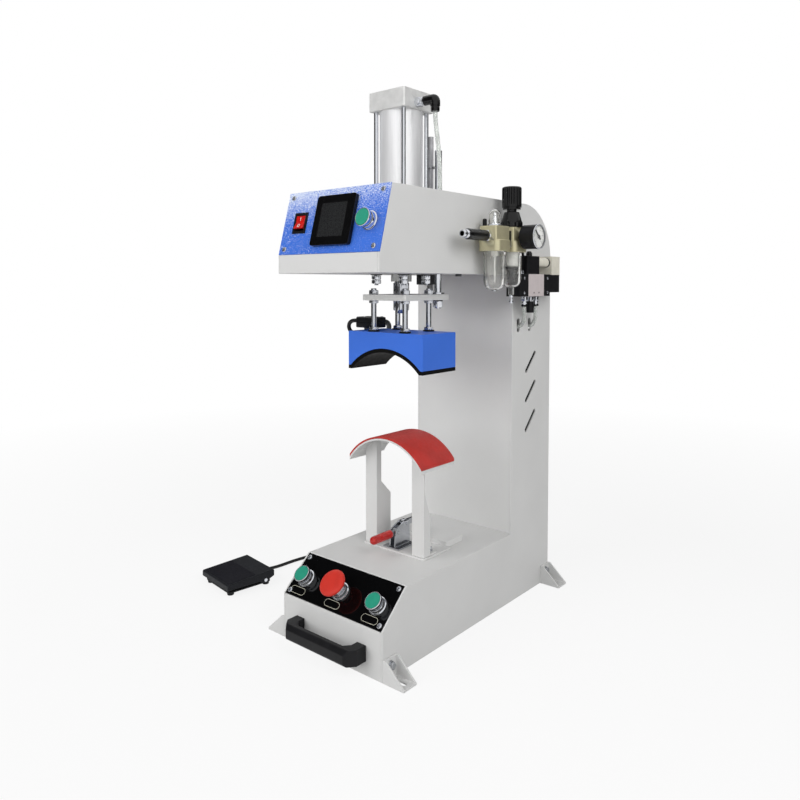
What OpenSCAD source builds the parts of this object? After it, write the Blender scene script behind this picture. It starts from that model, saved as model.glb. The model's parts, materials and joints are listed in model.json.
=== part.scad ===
// Pneumatic cap heat press: a C-shaped sheet steel stand with an air
// cylinder on its arm, a heated arched platen that slides down onto a
// padded form, two-hand start buttons, air treatment unit and foot pedal.
// The origin is on the bench, in the middle of the four bench bolt slots.
// X runs to the right, Y to the back and Z up. Sizes are in millimetres.

/* [Stand] */
// Width of the stand over both side plates
body_w = 210; // [200:1:230]
// Depth of the base from front to back
body_d = 476; // [470:1:500]
// Height of the base deck
base_h = 122; // [112:1:126]
// Height at which the sloping control panel starts
slope_z = 73; // [66:1:80]
// Depth of the sloping control panel, seen from above
slope_run = 53; // [48:1:58]
// Depth of the column
column_d = 135; // [128:1:145]
// Distance from the press axis to the front of the column
throat = 175; // [170:1:185]
// Height of the arm
arm_h = 126; // [120:1:140]
// How far the arm stands out in front of the base
arm_reach = 6; // [0:1:20]
// Height of the plain lip under the head panel
lip_h = 28.5; // [24:0.5:34]
// How far the head panel leans back over its height
head_lean = 26; // [20:1:32]
// Radius of the rounded top corner at the back
corner_r = 95; // [80:1:100]
// Thickness of a side plate
side_t = 3; // [2:0.5:4]
// Thickness of the folded skins
skin_t = 2; // [1.5:0.5:3]
// Thickness of the arm floor that carries the cylinder
floor_t = 4; // [3:0.5:6]
// Thickness of the control panel and the head panel
panel_t = 2; // [1.5:0.5:3]
// Height at which the roof skin ends on the back
roof_end_z = 600; // [560:5:600]

/* [Bench fixing] */
// Distance between the left and right bench slots
bolt_span_x = 255; // [253:1:262]
// Distance between the front and rear bench slots
bolt_span_y = 447; // [440:1:450]
// Length of a bench slot
bolt_slot_l = 17; // [14:1:20]
// Width of a bench slot
bolt_slot_w = 7; // [6:0.5:8]
// Width of a foot bracket
foot_w = 29; // [26:1:32]
// Height of a foot bracket
foot_h = 33; // [30:1:40]
// Reach of a foot bracket out of the side plate
foot_reach = 39; // [37:1:44]
// Thickness of the foot bracket
foot_t = 3; // [2.5:0.5:4]

/* [Carry handle] */
// Width of the carry handle
handle_w = 148; // [140:1:160]
// How far the handle stands out
handle_out = 35; // [32:1:40]
// Height of the handle section
handle_h = 24; // [20:1:28]
// Thickness of the handle bar
handle_bar = 13; // [11:1:14]
// Height of the handle's lower edge
handle_z = 21; // [16:1:24]

/* [Press] */
// Height of the top of the padded form
form_top = 315.6; // [305:0.1:325]
// Travel of the press head
stroke = 137; // [120:1:150]
// Width of the platen and the form
die_w = 158; // [150:1:162]
// Depth of the platen and the form
die_d = 87; // [80:1:94]
// Radius of the platen's liner
liner_r = 98; // [94:1:102]
// Thickness of the liner
liner_t = 6; // [5:0.5:8]
// Gap between liner and pad when the press is closed
close_gap = 0.4; // [0.3:0.1:1]
// Thickness of the silicone pad
pad_t = 3; // [2:0.5:4]
// Thickness of the curved form plate
saddle_t = 3; // [2:0.5:4]
// Metal over the top of the platen's arch
crown_t = 26; // [24:1:30]
// Width of the arch at the platen's lower edge
arch_mouth = 148; // [142:1:148]
// Wall of the platen housing
housing_t = 3; // [2:0.5:4]
// Height of the gap between the platen and the head plate
stud_gap = 51.4; // [46:0.1:60]
// Diameter of a platen stud
stud_d = 9; // [8:0.5:10]
// Stud pitch across the press
stud_pitch_x = 67; // [62:1:70]
// Stud pitch from front to back
stud_pitch_y = 61; // [56:1:63]
// Width of the head plate
plate_w = 92; // [90:1:100]
// Depth of the head plate
plate_d = 116; // [114:1:120]
// Thickness of the head plate
plate_t = 9.6; // [8:0.1:12]
// How far the head plate reaches in front of the press axis
plate_front = 45; // [43:1:48]
// Diameter of the guide rod
guide_d = 12; // [10:1:14]
// Place of the guide rod to the right of the press axis
guide_x = 34; // [33:1:35]
// Place of the guide rod behind the press axis
guide_y = 55; // [54:1:56]

/* [Cylinder] */
// Side of the square cylinder caps
cap_w = 75; // [72:1:80]
// Height of a cylinder cap
cap_h = 30; // [26:1:34]
// Bore of the cylinder
cyl_bore = 63; // [60:1:63]
// Wall of the cylinder tube
tube_wall = 3.5; // [2.5:0.5:3.5]
// Length of the tube beyond the travel
tube_extra = 91; // [78:1:98]
// Diameter of the piston rod
rod_d = 20; // [18:1:22]
// Diameter of a tie rod
tie_d = 7; // [6:0.5:8]
// Pitch of the tie rods
tie_pitch = 58; // [57:0.5:58]
// Diameter of the boss under the lower cap
boss_d = 34; // [32:1:36]
// How far the boss comes through the arm floor
boss_drop = 12; // [10:1:16]
// Height of the coupling nut on the piston rod
coupling_h = 20; // [16:1:22]

/* [Controls] */
// Diameter of the panel holes for buttons
hole_d = 22; // [20:0.5:24]
// Diameter of a start button
button_d = 27; // [25:1:28]
// Travel of a start button
button_travel = 4; // [3:0.5:4]
// Distance of the start buttons from the middle
button_x = 76; // [70:1:80]
// Diameter of the emergency stop head
estop_d = 43; // [40:1:46]
// Travel of the emergency stop
estop_travel = 5; // [3:0.5:5]
// Width of the touch controller
hmi_w = 79.5; // [76:0.5:82]
// Height of the touch controller
hmi_h = 77; // [74:1:80]
// Width of the rocker switch frame
rocker_w = 28; // [26:1:30]
// Height of the rocker switch frame
rocker_h = 33; // [31:1:36]

/* [Air unit] */
// Side of an air unit body
unit_w = 40; // [36:1:42]
// Distance of the unit's middle from the side plate
unit_off = 30.5; // [29:0.5:36]
// Height of the unit's lower face
unit_z = 615; // [606:1:625]
// Diameter of the regulator knob
knob_d = 32; // [28:1:34]
// Height of the regulator knob
knob_h = 37; // [30:1:40]
// Diameter of the pressure gauge
gauge_d = 40; // [36:1:42]
// Bore of the hose port on the inlet coupler
port_d = 8; // [6:0.5:10]
// Width of the air valve
valve_w = 27; // [22:1:30]
// Height of the air valve
valve_h = 38; // [34:1:40]

/* [Form stand] */
// Distance between the outer faces of the two legs
leg_span = 126; // [122:1:130]
// Width of a leg
leg_w = 25; // [22:1:28]
// Depth of a leg
leg_d = 36; // [32:1:38]
// Thickness of the leg sheet
leg_t = 2.5; // [2:0.5:3]
// Thickness of the form's base plate
base_t = 3; // [2:0.5:5]

/* [Pedal] */
// Width of the foot pedal
pedal_w = 98; // [90:1:104]
// Length of the foot pedal
pedal_l = 97; // [94:1:106]
// Height of the treadle's top face at its rear edge
pedal_h = 28; // [26:1:30]
// How much lower the treadle's front edge lies
pedal_fall = 5; // [2:0.5:6]
// Diameter of the pedal cord
cord_d = 6; // [5.5:0.5:6]

/* [Hidden] */
$fn = 48;
// Radial clearance of a running fit
run = 0.06;
// Clearance of a bolt in its hole
loose = 0.25;
// Clearance between a piece and the cut-out that it stands in
seat = 0.3;
front_y = -body_d / 2;
rear_y = body_d / 2;
column_y = rear_y - column_d;
axis_y = column_y - throat;
inner_w = body_w - 2 * side_t;
slope_a = atan2(base_h - slope_z, slope_run);
slope_l = norm([base_h - slope_z, slope_run]);
pad_r = liner_r - close_gap;
saddle_r = pad_r - pad_t;
form_cz = form_top - pad_r;
die_cz = form_cz + stroke;
arch_r = liner_r + liner_t;
platen_top = die_cz + arch_r + crown_t;
platen_low = die_cz + sqrt(arch_r * arch_r - arch_mouth * arch_mouth / 4);
plate_z = platen_top + stud_gap;
plate_top = plate_z + plate_t;
coupling_gap = 1;
arm_z = plate_top + coupling_h + coupling_gap + boss_drop;
arm_top = arm_z + arm_h;
head_y = front_y - arm_reach;
lip_z = arm_z + lip_h;
head_a = atan2(arm_top - lip_z, head_lean);
head_l = norm([arm_top - lip_z, head_lean]);
head_edge = panel_t / tan(head_a) + 0.1;
cap_z = arm_z + floor_t;
tube_z = cap_z + cap_h;
tube_l = stroke + tube_extra;
top_z = tube_z + tube_l;
cyl_top = top_z + cap_h;
tube_d = cyl_bore + 2 * tube_wall;
piston_h = 24;
piston_z = top_z - piston_h - 3;
nut_h = 7;
nut_af = 16;
foot_y = bolt_span_y / 2;
bolt_d = 6;
screw_d = 4;
screw_inset = 7;
floor_back = 20;
rim_side = 10;
rim_end = 12;
bush_d = 19.6;
bush_l = 40;
guide_top = arm_top + 80;
stop_x = 12;
stop_y = 62;
stop_gap = 0.3;
stop_d = 11;
stop_top = arm_top + 105;
stop_ring = arm_top + 52;
hose_x = 74;
hose_y = axis_y - 6;
elbow_z = cyl_top - cap_h / 2 - 5;
elbow_nut = 16;
elbow_drop = 19.5;
elbow_d = 15;
hose_d = 7;
port_y = -66;
port_z = cap_z + cap_h / 2;
grommet_d = 13;
cable_x = -66;
cable_d = 9;
lead_d = 7;
lead_y = -65;
lead_z = platen_top - 11.6;
cable_z = die_cz + 89;
button_s = slope_l * 0.44;
face_h = 18;
cap_t = 5;
barrel_h = 8.5;
body_depth = 26;
shoulder = 6;
stem_d = 14;
estop_face = 31;
estop_h = 12;
pin_d = 12;
hmi_x = 7.5;
hmi_s = 50;
rocker_x = -67.5;
rocker_s = 50;
head_button_x = 78;
head_button_s = 46;
unit_x = body_w / 2 + unit_off;
unit_top = unit_z + unit_w;
unit_neck = -unit_w * 0.1;
lub_y = -2;
reg_y = lub_y + unit_w + 11;
gauge_z = unit_z + unit_w * 0.6;
needle_turn = 135;
gauge_x = unit_x + unit_w / 2 + 5;
gauge_l = 27.5;
knob_z = unit_top + 30;
neck_d = 16;
valve_x = body_w / 2 + 8;
valve_z = 542;
valve_y = 98;
valve_l = 53;
valve_top = valve_z + valve_h;
valve_end = 28;
slot_pitch = 38.5;
slot_y = 124;
slot_z = 490;
louvre_y = 168;
louvre_z = 315;
louvre_pitch = 53.5;
louvre_l = 50;
louvre_w = 8;
form_w = die_w - 4;
leg_x = leg_span / 2 - leg_w;
leg_y = axis_y - leg_d / 2 - 1;
deck_z = base_h + base_t;
leg_top = form_cz + sqrt(pow(saddle_r - saddle_t / 2, 2) - pow(leg_span / 2, 2));
tongue_z = deck_z + 5;
tongue_t = 2.5;
clamp_x = -6;
lever_y = axis_y - 8;
lever_z = deck_z + 25;
arm_y = axis_y + 14;
arm_pz = deck_z + 35;
clamp_pin = 5;
cheek_gap = 8;
cheek_t = 2.5;
bar_w = 6;
grip_l = 54;
grip_y = lever_y - 6;
pad_h = 14;
spindle_y = axis_y + 60;
pedal_x = -331;
pedal_y = -156;
pedal_turn = -8;
pedal_wall = 3;
pedal_foot = 5;
pedal_plate = 2.5;
pedal_pin = 6;
pedal_pin_y = 30;
pedal_pin_z = 12;
gland_x = 41;
gland_z = 24;
gland_l = 12;
coil_x = -40;
coil_y = 322;
coil_r = 33;
coil_pitch = cord_d + 0.7;
coil_half = 2.5;
coil_rings = 24;

// Points of the pedal cord from the pedal to the coil, chosen by hand
cord_route = [[-324.2, -108, 9], [-322.9, -97, 8.9], [-323.2, -85, 7.6],
    [-324.6, -70, 5.4], [-326, -52, 3.8], [-325.6, -22, 3.2], [-321, 6, 3.2],
    [-313, 31, 3.2], [-302, 56, 3.2], [-288, 80, 3.2], [-272, 103, 3.2],
    [-255, 126, 3.2], [-239, 150, 3.2], [-225, 175, 3.2], [-213, 201, 3.2],
    [-200, 226, 3.2], [-183, 248, 3.2], [-161, 265, 3.2], [-136, 275, 3.2],
    [-108, 279.5, 3.2], [-78, 280.6, 3.2], [-46, 280.6, 3.2]];
// Points of the pedal cord from the coil to the gland, chosen by hand
rear_route = [[-34, 280.6, 9.7], [-26, 280.6, 9.7], [-6, 280.8, 8.6],
    [10, 280.4, 9], [22, 277.4, 11], [31.4, 271, 14.8],
    [38, 263, 20], [41, 255, 24], [41, 250, 24]];
// Points of the heater lead from its plug round to the platen
loop_route = [[-88, -74, 498], [-100, -73.4, 499.6], [-112, -72, 498.6],
    [-120.6, -70, 494], [-123.6, -68.4, 487], [-120.6, -67, 480],
    [-112, -66, 475.4], [-100, -65.2, 473.6], [-90, -65, 473.4],
    [-77, -65, 473.4]];
// Points of the supply lead from the heater plug to the column
supply_route = [[-66, -56, 498], [-66, -47, 498], [-66.8, -38, 497.4],
    [-69, -28.8, 495.2], [-73, -20.2, 491], [-78.6, -12.6, 485],
    [-85.4, -6, 477], [-92, 2, 467.4], [-97.4, 12, 457.9],
    [-98.8, 25.6, 450.2], [-95, 40, 444.6], [-87.6, 54.4, 441.2],
    [-78.6, 67.6, 440], [-71, 79.6, 441.2], [-67, 90, 443],
    [-66, 100, 444], [-66, 110, 444]];
// Points of the hose from the valve up to the cylinder's top cap
upper_route = [[74, -78, 831.5], [74.6, -78, 818], [77.6, -78, 796],
    [80.8, -77.6, 768], [82.2, -77, 738], [82.2, -76.6, 712],
    [82, -76, 692], [81.4, -70, 674], [81, -56, 664], [80, -30, 660],
    [80, 10, 658], [80, 60, 654], [80, 100, 646], [80, 128, 626],
    [80, 142, 596], [80, 145, 560], [80, 145, 528], [83, 140, 505],
    [88, 131, 493], [96, 125.4, 488.4], [106, 124, 488.6],
    [114, 121.4, 493], [121, 115.6, 501], [125.4, 109.6, 511],
    [126.5, 107, 518], [126.5, 107, 524]];
// Points of the hose from the valve to the cylinder's lower cap
lower_route = [[54, -66, 598], [62, -66, 598], [69, -61, 599],
    [72, -50, 602], [72, -25, 608], [71, 20, 618], [70, 70, 626],
    [70, 110, 626], [71, 142, 614], [73, 162, 590], [75, 172, 556],
    [77, 174, 526], [81, 170.6, 504], [88, 165.4, 492], [96, 163, 488.4],
    [106, 162.5, 488.6], [114, 159.6, 493], [121, 153.6, 501],
    [125.4, 147.6, 511], [126.5, 145, 518], [126.5, 145, 524]];

// Unit vector along v
function unit(v) = v / norm(v);
// Direction of a path at point i
function heading(p, i) = unit(p[min(i + 1, len(p) - 1)] - p[max(i - 1, 0)]);
// Part of v that is square to the direction t
function square_to(v, t) = unit(v - (v * t) * t);
// Side vectors carried along a path without twist
function sides(p, i, s) = i == len(p) ? [] :
    let (n = square_to(s, heading(p, i))) concat([n], sides(p, i + 1, n));
// Start vector for a path: any vector square to its first leg
function start_side(p) = abs(heading(p, 0)[2]) > 0.8 ? [1, 0, 0] : [0, 0, 1];

// Round tube swept along points p, with n sides, as one closed mesh
module tube_along(p, d, n) {
    m = len(p);
    s = sides(p, 0, start_side(p));
    ring = [for (i = [0:m - 1]) let (t = heading(p, i), b = cross(t, s[i]))
        for (k = [0:n - 1]) p[i] + d / 2 * (cos(360 * (k + 0.5) / n) * s[i]
        + sin(360 * (k + 0.5) / n) * b)];
    walls = [for (i = [0:m - 2]) for (k = [0:n - 1])
        let (a = i * n + k, b = i * n + (k + 1) % n)
        for (f = [[a, a + n, b], [b, a + n, b + n]]) f];
    low = [for (k = [1:n - 2]) [0, k, k + 1]];
    high = [for (k = [1:n - 2]) let (o = (m - 1) * n) [o, o + k + 1, o + k]];
    polyhedron(concat([for (v = ring) v]), concat(walls, low, high));
}

// Extrudes a shape drawn in Y and Z across X, from x0 over w
module across(x0, w) {
    translate([x0, 0, 0]) rotate([90, 0, 90]) linear_extrude(w) children();
}

// Extrudes a shape drawn in X and Z along Y, from y0 over l
module lengthways(y0, l) {
    translate([0, y0 + l, 0]) rotate([90, 0, 0]) linear_extrude(l) children();
}

// Frame of the sloping control panel: x, distance up the slope, height
module on_slope(x, s, h) {
    translate([x, front_y, slope_z]) rotate([slope_a, 0, 0])
        translate([0, s, h]) children();
}

// Frame of the head panel: x, distance up the panel, height
module on_head(x, s, h) {
    translate([x, head_y, lip_z]) rotate([head_a, 0, 0])
        translate([0, s, h]) children();
}

// Frame of the foot pedal on the floor
module on_pedal() {
    translate([pedal_x, pedal_y, 0]) rotate([0, 0, pedal_turn]) children();
}

// Places children at the corners of a rectangle in the current plane
module corners(w, l) {
    for (i = [-1, 1]) for (j = [-1, 1])
        translate([i * w / 2, j * l / 2, 0]) children();
}

// Plate with rounded corners, its middle at the origin
module round_plate(w, l, h, r) {
    linear_extrude(h) union() {
        square([w - 2 * r, l], center = true);
        square([w, l - 2 * r], center = true);
        corners(w - 2 * r, l - 2 * r) circle(r);
    }
}

// Slot outline, long way along the first axis
module slot(l, w) {
    square([l - w, w], center = true);
    for (i = [-1, 1]) translate([i * (l - w) / 2, 0]) circle(w / 2);
}

// Six-sided prism of width af over its flats
module hex(af, h) {
    cylinder(h = h, d = af / cos(30), $fn = 6);
}

// Outline of a side plate in Y and Z
module side_outline() {
    cut = panel_t / sin(head_a);
    difference() {
        polygon([[front_y, 0], [rear_y, 0], [rear_y, arm_top],
            [head_y + head_lean + cut, arm_top], [head_y + cut, lip_z],
            [head_y, lip_z], [head_y, arm_z], [column_y, arm_z],
            [column_y, base_h], [front_y + slope_run, base_h],
            [front_y, slope_z]]);
        difference() {
            translate([rear_y - corner_r, arm_top - corner_r])
                square(corner_r + 1);
            translate([rear_y - corner_r, arm_top - corner_r])
                circle(corner_r, $fn = 96);
        }
    }
}

// Side plate with the return flange that the rear cover is screwed to
module side_blank() {
    across(-body_w / 2, side_t) side_outline();
    translate([-inner_w / 2, rear_y - 2 * skin_t - seat, 10])
        cube([14, skin_t, roof_end_z - 20]);
}

// Holes for the two foot brackets of one side plate
module foot_holes() {
    for (j = [-1, 1]) translate([-body_w / 2 - 1, j * foot_y, foot_h * 0.66])
        rotate([0, 90, 0]) cylinder(h = side_t + 2, d = bolt_d + 2 * loose);
}

// Holes through a return flange for the rear cover's screws
module cover_holes(x) {
    for (z = cover_screw_z()) translate([x, rear_y + 1, z])
        rotate([90, 0, 0]) cylinder(h = 12, d = screw_d + 2 * loose);
}

// Heights of the rear cover's screws
function cover_screw_z() = [30, roof_end_z / 2, roof_end_z - 30];

module side_plate_left() {
    color([0.85, 0.85, 0.83]) difference() {
        side_blank();
        foot_holes();
        cover_holes(-inner_w / 2 + screw_inset);
    }
}

module side_plate_right() {
    color([0.85, 0.85, 0.83]) difference() {
        mirror([1, 0, 0]) side_blank();
        mirror([1, 0, 0]) foot_holes();
        cover_holes(inner_w / 2 - screw_inset);
        across(inner_w / 2 - 1, side_t + 2) union() {
            for (i = [0:2])
                translate([louvre_y, louvre_z + i * louvre_pitch])
                rotate(46) slot(louvre_l, louvre_w);
            for (i = [0, 1]) translate([slot_y + i * slot_pitch, slot_z])
                rotate(90) slot(24, hose_d + 2);
        }
    }
}

// Section of the base skin: front wall, slope for the panel and deck
module base_section(t) {
    drop = (panel_t + t) / cos(slope_a);
    run_in = (panel_t + t) / sin(slope_a);
    polygon([[front_y + t, -1], [front_y + t, slope_z - drop
        + t * tan(slope_a)], [front_y + slope_run + run_in
        - t / tan(slope_a), base_h - t], [column_y + 30, base_h - t],
        [column_y + 30, -1]]);
}

module base_skin() {
    color([0.85, 0.85, 0.83]) difference() {
        across(-inner_w / 2, inner_w) intersection() {
            difference() {
                base_section(0);
                base_section(skin_t);
            }
            translate([front_y, 0])
                square([column_y + 20 - front_y, base_h]);
        }
        on_slope(0, slope_l / 2, -panel_t - skin_t - 4)
            translate([-inner_w / 2 + rim_side, -slope_l / 2 + rim_end, 0])
            cube([inner_w - 2 * rim_side, slope_l - 2 * rim_end, skin_t + 5]);
        control_screws(screw_d + 2 * loose, 10);
        handle_bolts(bolt_d + 2 * loose, 30);
        form_bolts(bolt_d + 2 * loose);
    }
}

module column_front() {
    color([0.82, 0.82, 0.81]) difference() {
        translate([-inner_w / 2, column_y, base_h])
            cube([inner_w, skin_t, arm_z - base_h]);
        translate([cable_x, column_y - 1, cable_z]) rotate([-90, 0, 0])
            cylinder(h = skin_t + 2, d = cable_d + 2);
    }
}

// Point in Y and Z: s up the head panel's face, t behind that face
function behind_head(s, t) = [head_y + s * cos(head_a) + t * sin(head_a),
    lip_z + s * sin(head_a) - t * cos(head_a)];

// Section of the arm floor with its front lip and the panel's lower flange
module floor_section() {
    back = column_y + floor_back;
    t = panel_t + skin_t;
    low = (skin_t - t * sin(head_a)) / cos(head_a);
    polygon([[head_y, arm_z], [back, arm_z], [back, cap_z],
        [head_y + skin_t, cap_z], behind_head(low, t), behind_head(14, t),
        behind_head(14, panel_t), [head_y + panel_t / sin(head_a), lip_z],
        [head_y, lip_z]]);
}

module arm_floor() {
    color([0.85, 0.85, 0.83]) difference() {
        across(-inner_w / 2, inner_w) floor_section();
        translate([0, axis_y, arm_z - 1]) {
            cylinder(h = floor_t + 2, d = boss_d + 2 * loose);
            corners(tie_pitch, tie_pitch)
                cylinder(h = floor_t + 2, d = tie_d + 2 * loose);
            translate([guide_x, guide_y, 0])
                cylinder(h = floor_t + 2, d = bush_d + 2 * loose);
            translate([stop_x, stop_y, 0])
                cylinder(h = floor_t + 2, d = stop_d + 2 * loose);
        }
        on_head(0, 0, -panel_t - skin_t - 2)
            translate([-hmi_w / 2 + hmi_x, hmi_s - hmi_h / 2 - 1, 0])
            cube([hmi_w, 20, 10]);
        head_screws(screw_d + 2 * loose, 10);
    }
}

// Section of the roof: panel's upper flange, top, rounded corner and back
module roof_section() {
    t = panel_t + skin_t;
    arc_y = rear_y - corner_r;
    arc_z = arm_top - corner_r;
    top_y = head_y + head_lean + panel_t / sin(head_a);
    high = head_l - (skin_t - t * cos(head_a)) / sin(head_a);
    polygon([behind_head(head_l - 16, panel_t), [top_y, arm_top],
        [arc_y, arm_top], [arc_y, arm_top - skin_t], behind_head(high, t),
        behind_head(head_l - 16, t)]);
    translate([arc_y, arc_z]) intersection() {
        difference() {
            circle(corner_r, $fn = 96);
            circle(corner_r - skin_t, $fn = 96);
        }
        square(corner_r + 1);
    }
    translate([rear_y - skin_t, roof_end_z])
        square([skin_t, arc_z - roof_end_z]);
}

// Roof skin of the arm, folded from one sheet
module arm_roof() {
    color([0.86, 0.86, 0.84]) difference() {
        across(-inner_w / 2, inner_w) roof_section();
        translate([0, axis_y, arm_top - skin_t - 1]) {
            cylinder(h = skin_t + 2, d = tube_d + 2);
            corners(tie_pitch, tie_pitch)
                cylinder(h = skin_t + 2, d = tie_d + 1);
            translate([guide_x, guide_y, 0])
                cylinder(h = skin_t + 2, d = guide_d + 2);
            translate([stop_x, stop_y, 0])
                cylinder(h = skin_t + 2, d = stop_d + 2 * loose);
        }
        translate([82, -76.4, arm_top - skin_t - 1])
            cylinder(h = skin_t + 2, d = hose_d + 2);
        head_screws(screw_d + 2 * loose, 10);
    }
}

module rear_cover() {
    color([0.84, 0.84, 0.82]) difference() {
        translate([-inner_w / 2 + seat, rear_y - skin_t, 6])
            cube([inner_w - 2 * seat, skin_t, roof_end_z - 6 - seat]);
        lengthways(rear_y - skin_t - 1, skin_t + 2) union() {
            for (i = [0:5]) for (x = [-40, 40])
                translate([x, 400 + 16 * i]) slot(56, 5);
            translate([-52, 72]) square([29, 21], center = true);
            translate([gland_x, gland_z]) circle(d = 12 + 2 * loose);
        }
        for (i = [-1, 1]) cover_holes(i * (inner_w / 2 - screw_inset));
    }
}

// One foot bracket, standing against the plane x = 0 and reaching to +x
module foot_bracket() {
    middle = bolt_span_x / 2 - body_w / 2;
    difference() {
        union() {
            translate([0, -foot_w / 2, 0]) cube([foot_t, foot_w, foot_h]);
            translate([0, -foot_w / 2, 0]) cube([foot_reach, foot_w, foot_t]);
            for (y = [-foot_w / 2, foot_w / 2 - foot_t])
                lengthways(y, foot_t) polygon([[0, 0], [foot_reach, 0],
                    [foot_reach, foot_t], [foot_t + 3, foot_h], [0, foot_h]]);
        }
        translate([middle, 0, -1]) linear_extrude(foot_t + 2)
            slot(bolt_slot_l, bolt_slot_w);
        translate([-1, 0, foot_h * 0.66]) rotate([90, 0, 90])
            linear_extrude(foot_t + 2) rotate(90)
            slot(bolt_d + 8, bolt_d + 2 * loose);
    }
}

module foot_brackets() {
    color([0.83, 0.83, 0.82]) for (i = [0, 1]) for (j = [-1, 1])
        mirror([i, 0, 0]) translate([body_w / 2, j * foot_y, 0])
        foot_bracket();
}

// Screws or their holes at the control panel's corners
module control_screws(d, l) {
    for (i = [-1, 1]) for (s = [screw_inset, slope_l - screw_inset])
        on_slope(i * (inner_w / 2 - screw_inset), s, -l)
        cylinder(h = l, d = d);
}

// Screws or their holes at the head panel's corners
module head_screws(d, l) {
    for (i = [-1, 1]) for (s = [screw_inset + 2, head_l - screw_inset - 2])
        on_head(i * (inner_w / 2 - screw_inset - 2), s, -l)
        cylinder(h = l, d = d);
}

// Bolts or their holes behind the handle's posts
module handle_bolts(d, l) {
    for (i = [-1, 1])
        translate([i * (handle_w / 2 - 8), front_y - 16,
            handle_z + handle_h / 2])
        rotate([-90, 0, 0]) cylinder(h = l, d = d);
}

// Holes for the bolts that hold the form on the deck
module form_bolts(d) {
    for (i = [-1, 1]) for (y = [leg_y + 29])
        translate([i * (leg_x + leg_w / 2), y, base_h - skin_t - 1])
        cylinder(h = 20, d = d);
}

// Hex bolt with washer: head above the plane z = 0, shank below it
module hex_bolt(d, shank) {
    cylinder(h = 1.5, d = d * 2.1);
    translate([0, 0, 1.5]) hex(d * 1.65, d * 0.7);
    translate([0, 0, -shank]) cylinder(h = shank + 1, d = d);
}

// Pan head screw: head above the plane z = 0, shank below it
module pan_screw(shank) {
    intersection() {
        cylinder(h = 2.4, d = screw_d * 2);
        translate([0, 0, -3.4]) sphere(r = 5.8);
    }
    translate([0, 0, -shank]) cylinder(h = shank + 1, d = screw_d);
}

module fasteners() {
    color([0.75, 0.76, 0.78]) {
        for (i = [-1, 1]) for (j = [-1, 1])
            translate([i * (body_w / 2 + foot_t), j * foot_y, foot_h * 0.66])
            rotate([0, i * 90, 0]) hex_bolt(bolt_d, foot_t + side_t + 4);
        for (i = [-1, 1]) for (s = [screw_inset, slope_l - screw_inset])
            on_slope(i * (inner_w / 2 - screw_inset), s, 0) pan_screw(8);
        for (i = [-1, 1])
            for (s = [screw_inset + 2, head_l - screw_inset - 2])
            on_head(i * (inner_w / 2 - screw_inset - 2), s, 0) pan_screw(8);
        for (i = [-1, 1]) for (z = cover_screw_z())
            translate([i * (inner_w / 2 - screw_inset), rear_y, z])
            rotate([-90, 0, 0]) pan_screw(8);
        for (i = [-1, 1]) for (y = [leg_y + 29])
            translate([i * (leg_x + leg_w / 2), y, deck_z + leg_t])
            hex_bolt(bolt_d, leg_t + base_t + skin_t + 4);
        translate([90, axis_y + 35, arm_z - 4]) cylinder(h = 4, d = 10);
        for (i = [-1, 1])
            translate([i * (handle_w / 2 - 8), front_y + skin_t,
                handle_z + handle_h / 2])
            rotate([-90, 0, 0]) union() {
                cylinder(h = 5, d = 9);
                translate([0, 0, -skin_t - 14])
                    cylinder(h = skin_t + 15, d = bolt_d);
            }
    }
}

module control_panel() {
    color([0.05, 0.05, 0.06]) difference() {
        on_slope(-inner_w / 2 + seat, 0, -panel_t)
            cube([inner_w - 2 * seat, slope_l, panel_t]);
        for (x = [-button_x, 0, button_x])
            on_slope(x, button_s, -panel_t - 1)
            cylinder(h = panel_t + 2, d = hole_d + 2 * loose);
        control_screws(screw_d + 2 * loose, 10);
    }
}

module head_panel() {
    color([0.28, 0.47, 0.86]) difference() {
        on_head(-body_w / 2, head_edge, -panel_t)
            cube([body_w, head_l - head_edge, panel_t]);
        on_head(head_button_x, head_button_s, -panel_t - 1)
            cylinder(h = panel_t + 2, d = hole_d + 2 * loose);
        on_head(hmi_x, hmi_s, -panel_t - 1)
            translate([-hmi_w / 2 + 3.5, -hmi_h / 2 + 3.5, 0])
            cube([hmi_w - 7, hmi_h - 7, panel_t + 2]);
        on_head(rocker_x, rocker_s, -panel_t - 1)
            translate([-rocker_w / 2 + 1.7, -rocker_h / 2 + 1.7, 0])
            cube([rocker_w - 3.4, rocker_h - 3.4, panel_t + 2]);
        head_screws(screw_d + 2 * loose, 10);
    }
}

module carry_handle() {
    w = handle_w / 2;
    y1 = front_y;
    y2 = front_y - handle_out;
    color([0.07, 0.07, 0.08]) difference() {
        intersection() {
            translate([0, 0, handle_z]) linear_extrude(handle_h) polygon([
                [-w, y1], [-w, y1 - 20], [-w + 13, y2], [w - 13, y2],
                [w, y1 - 20], [w, y1], [w - 18, y1], [w - 18, y1 - 13],
                [w - 26, y2 + handle_bar], [-w + 26, y2 + handle_bar],
                [-w + 18, y1 - 13], [-w + 18, y1]]);
            across(-w - 1, handle_w + 2) polygon([[y1, handle_z],
                [y2 + 4, handle_z], [y2, handle_z + 4],
                [y2, handle_z + handle_h - 6], [y2 + 6, handle_z + handle_h],
                [y1, handle_z + handle_h]]);
        }
        handle_bolts(bolt_d + 2 * loose, 30);
    }
}

// Chrome housing of a push button, its bore along z
module button_housing(bore) {
    difference() {
        union() {
            cylinder(h = 3, d = button_d + 2);
            cylinder(h = barrel_h, d1 = button_d - 2, d2 = button_d - 4);
            translate([0, 0, -body_depth])
                cylinder(h = body_depth, d = hole_d);
            translate([0, 0, -panel_t - 4])
                cylinder(h = 4, d = hole_d + 6);
        }
        translate([0, 0, -body_depth - 1])
            cylinder(h = body_depth + barrel_h + 2, r = bore / 2 + run);
        translate([0, 0, -body_depth - 1])
            cylinder(h = body_depth + 1 - shoulder, d = bore + 4);
    }
}

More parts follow.
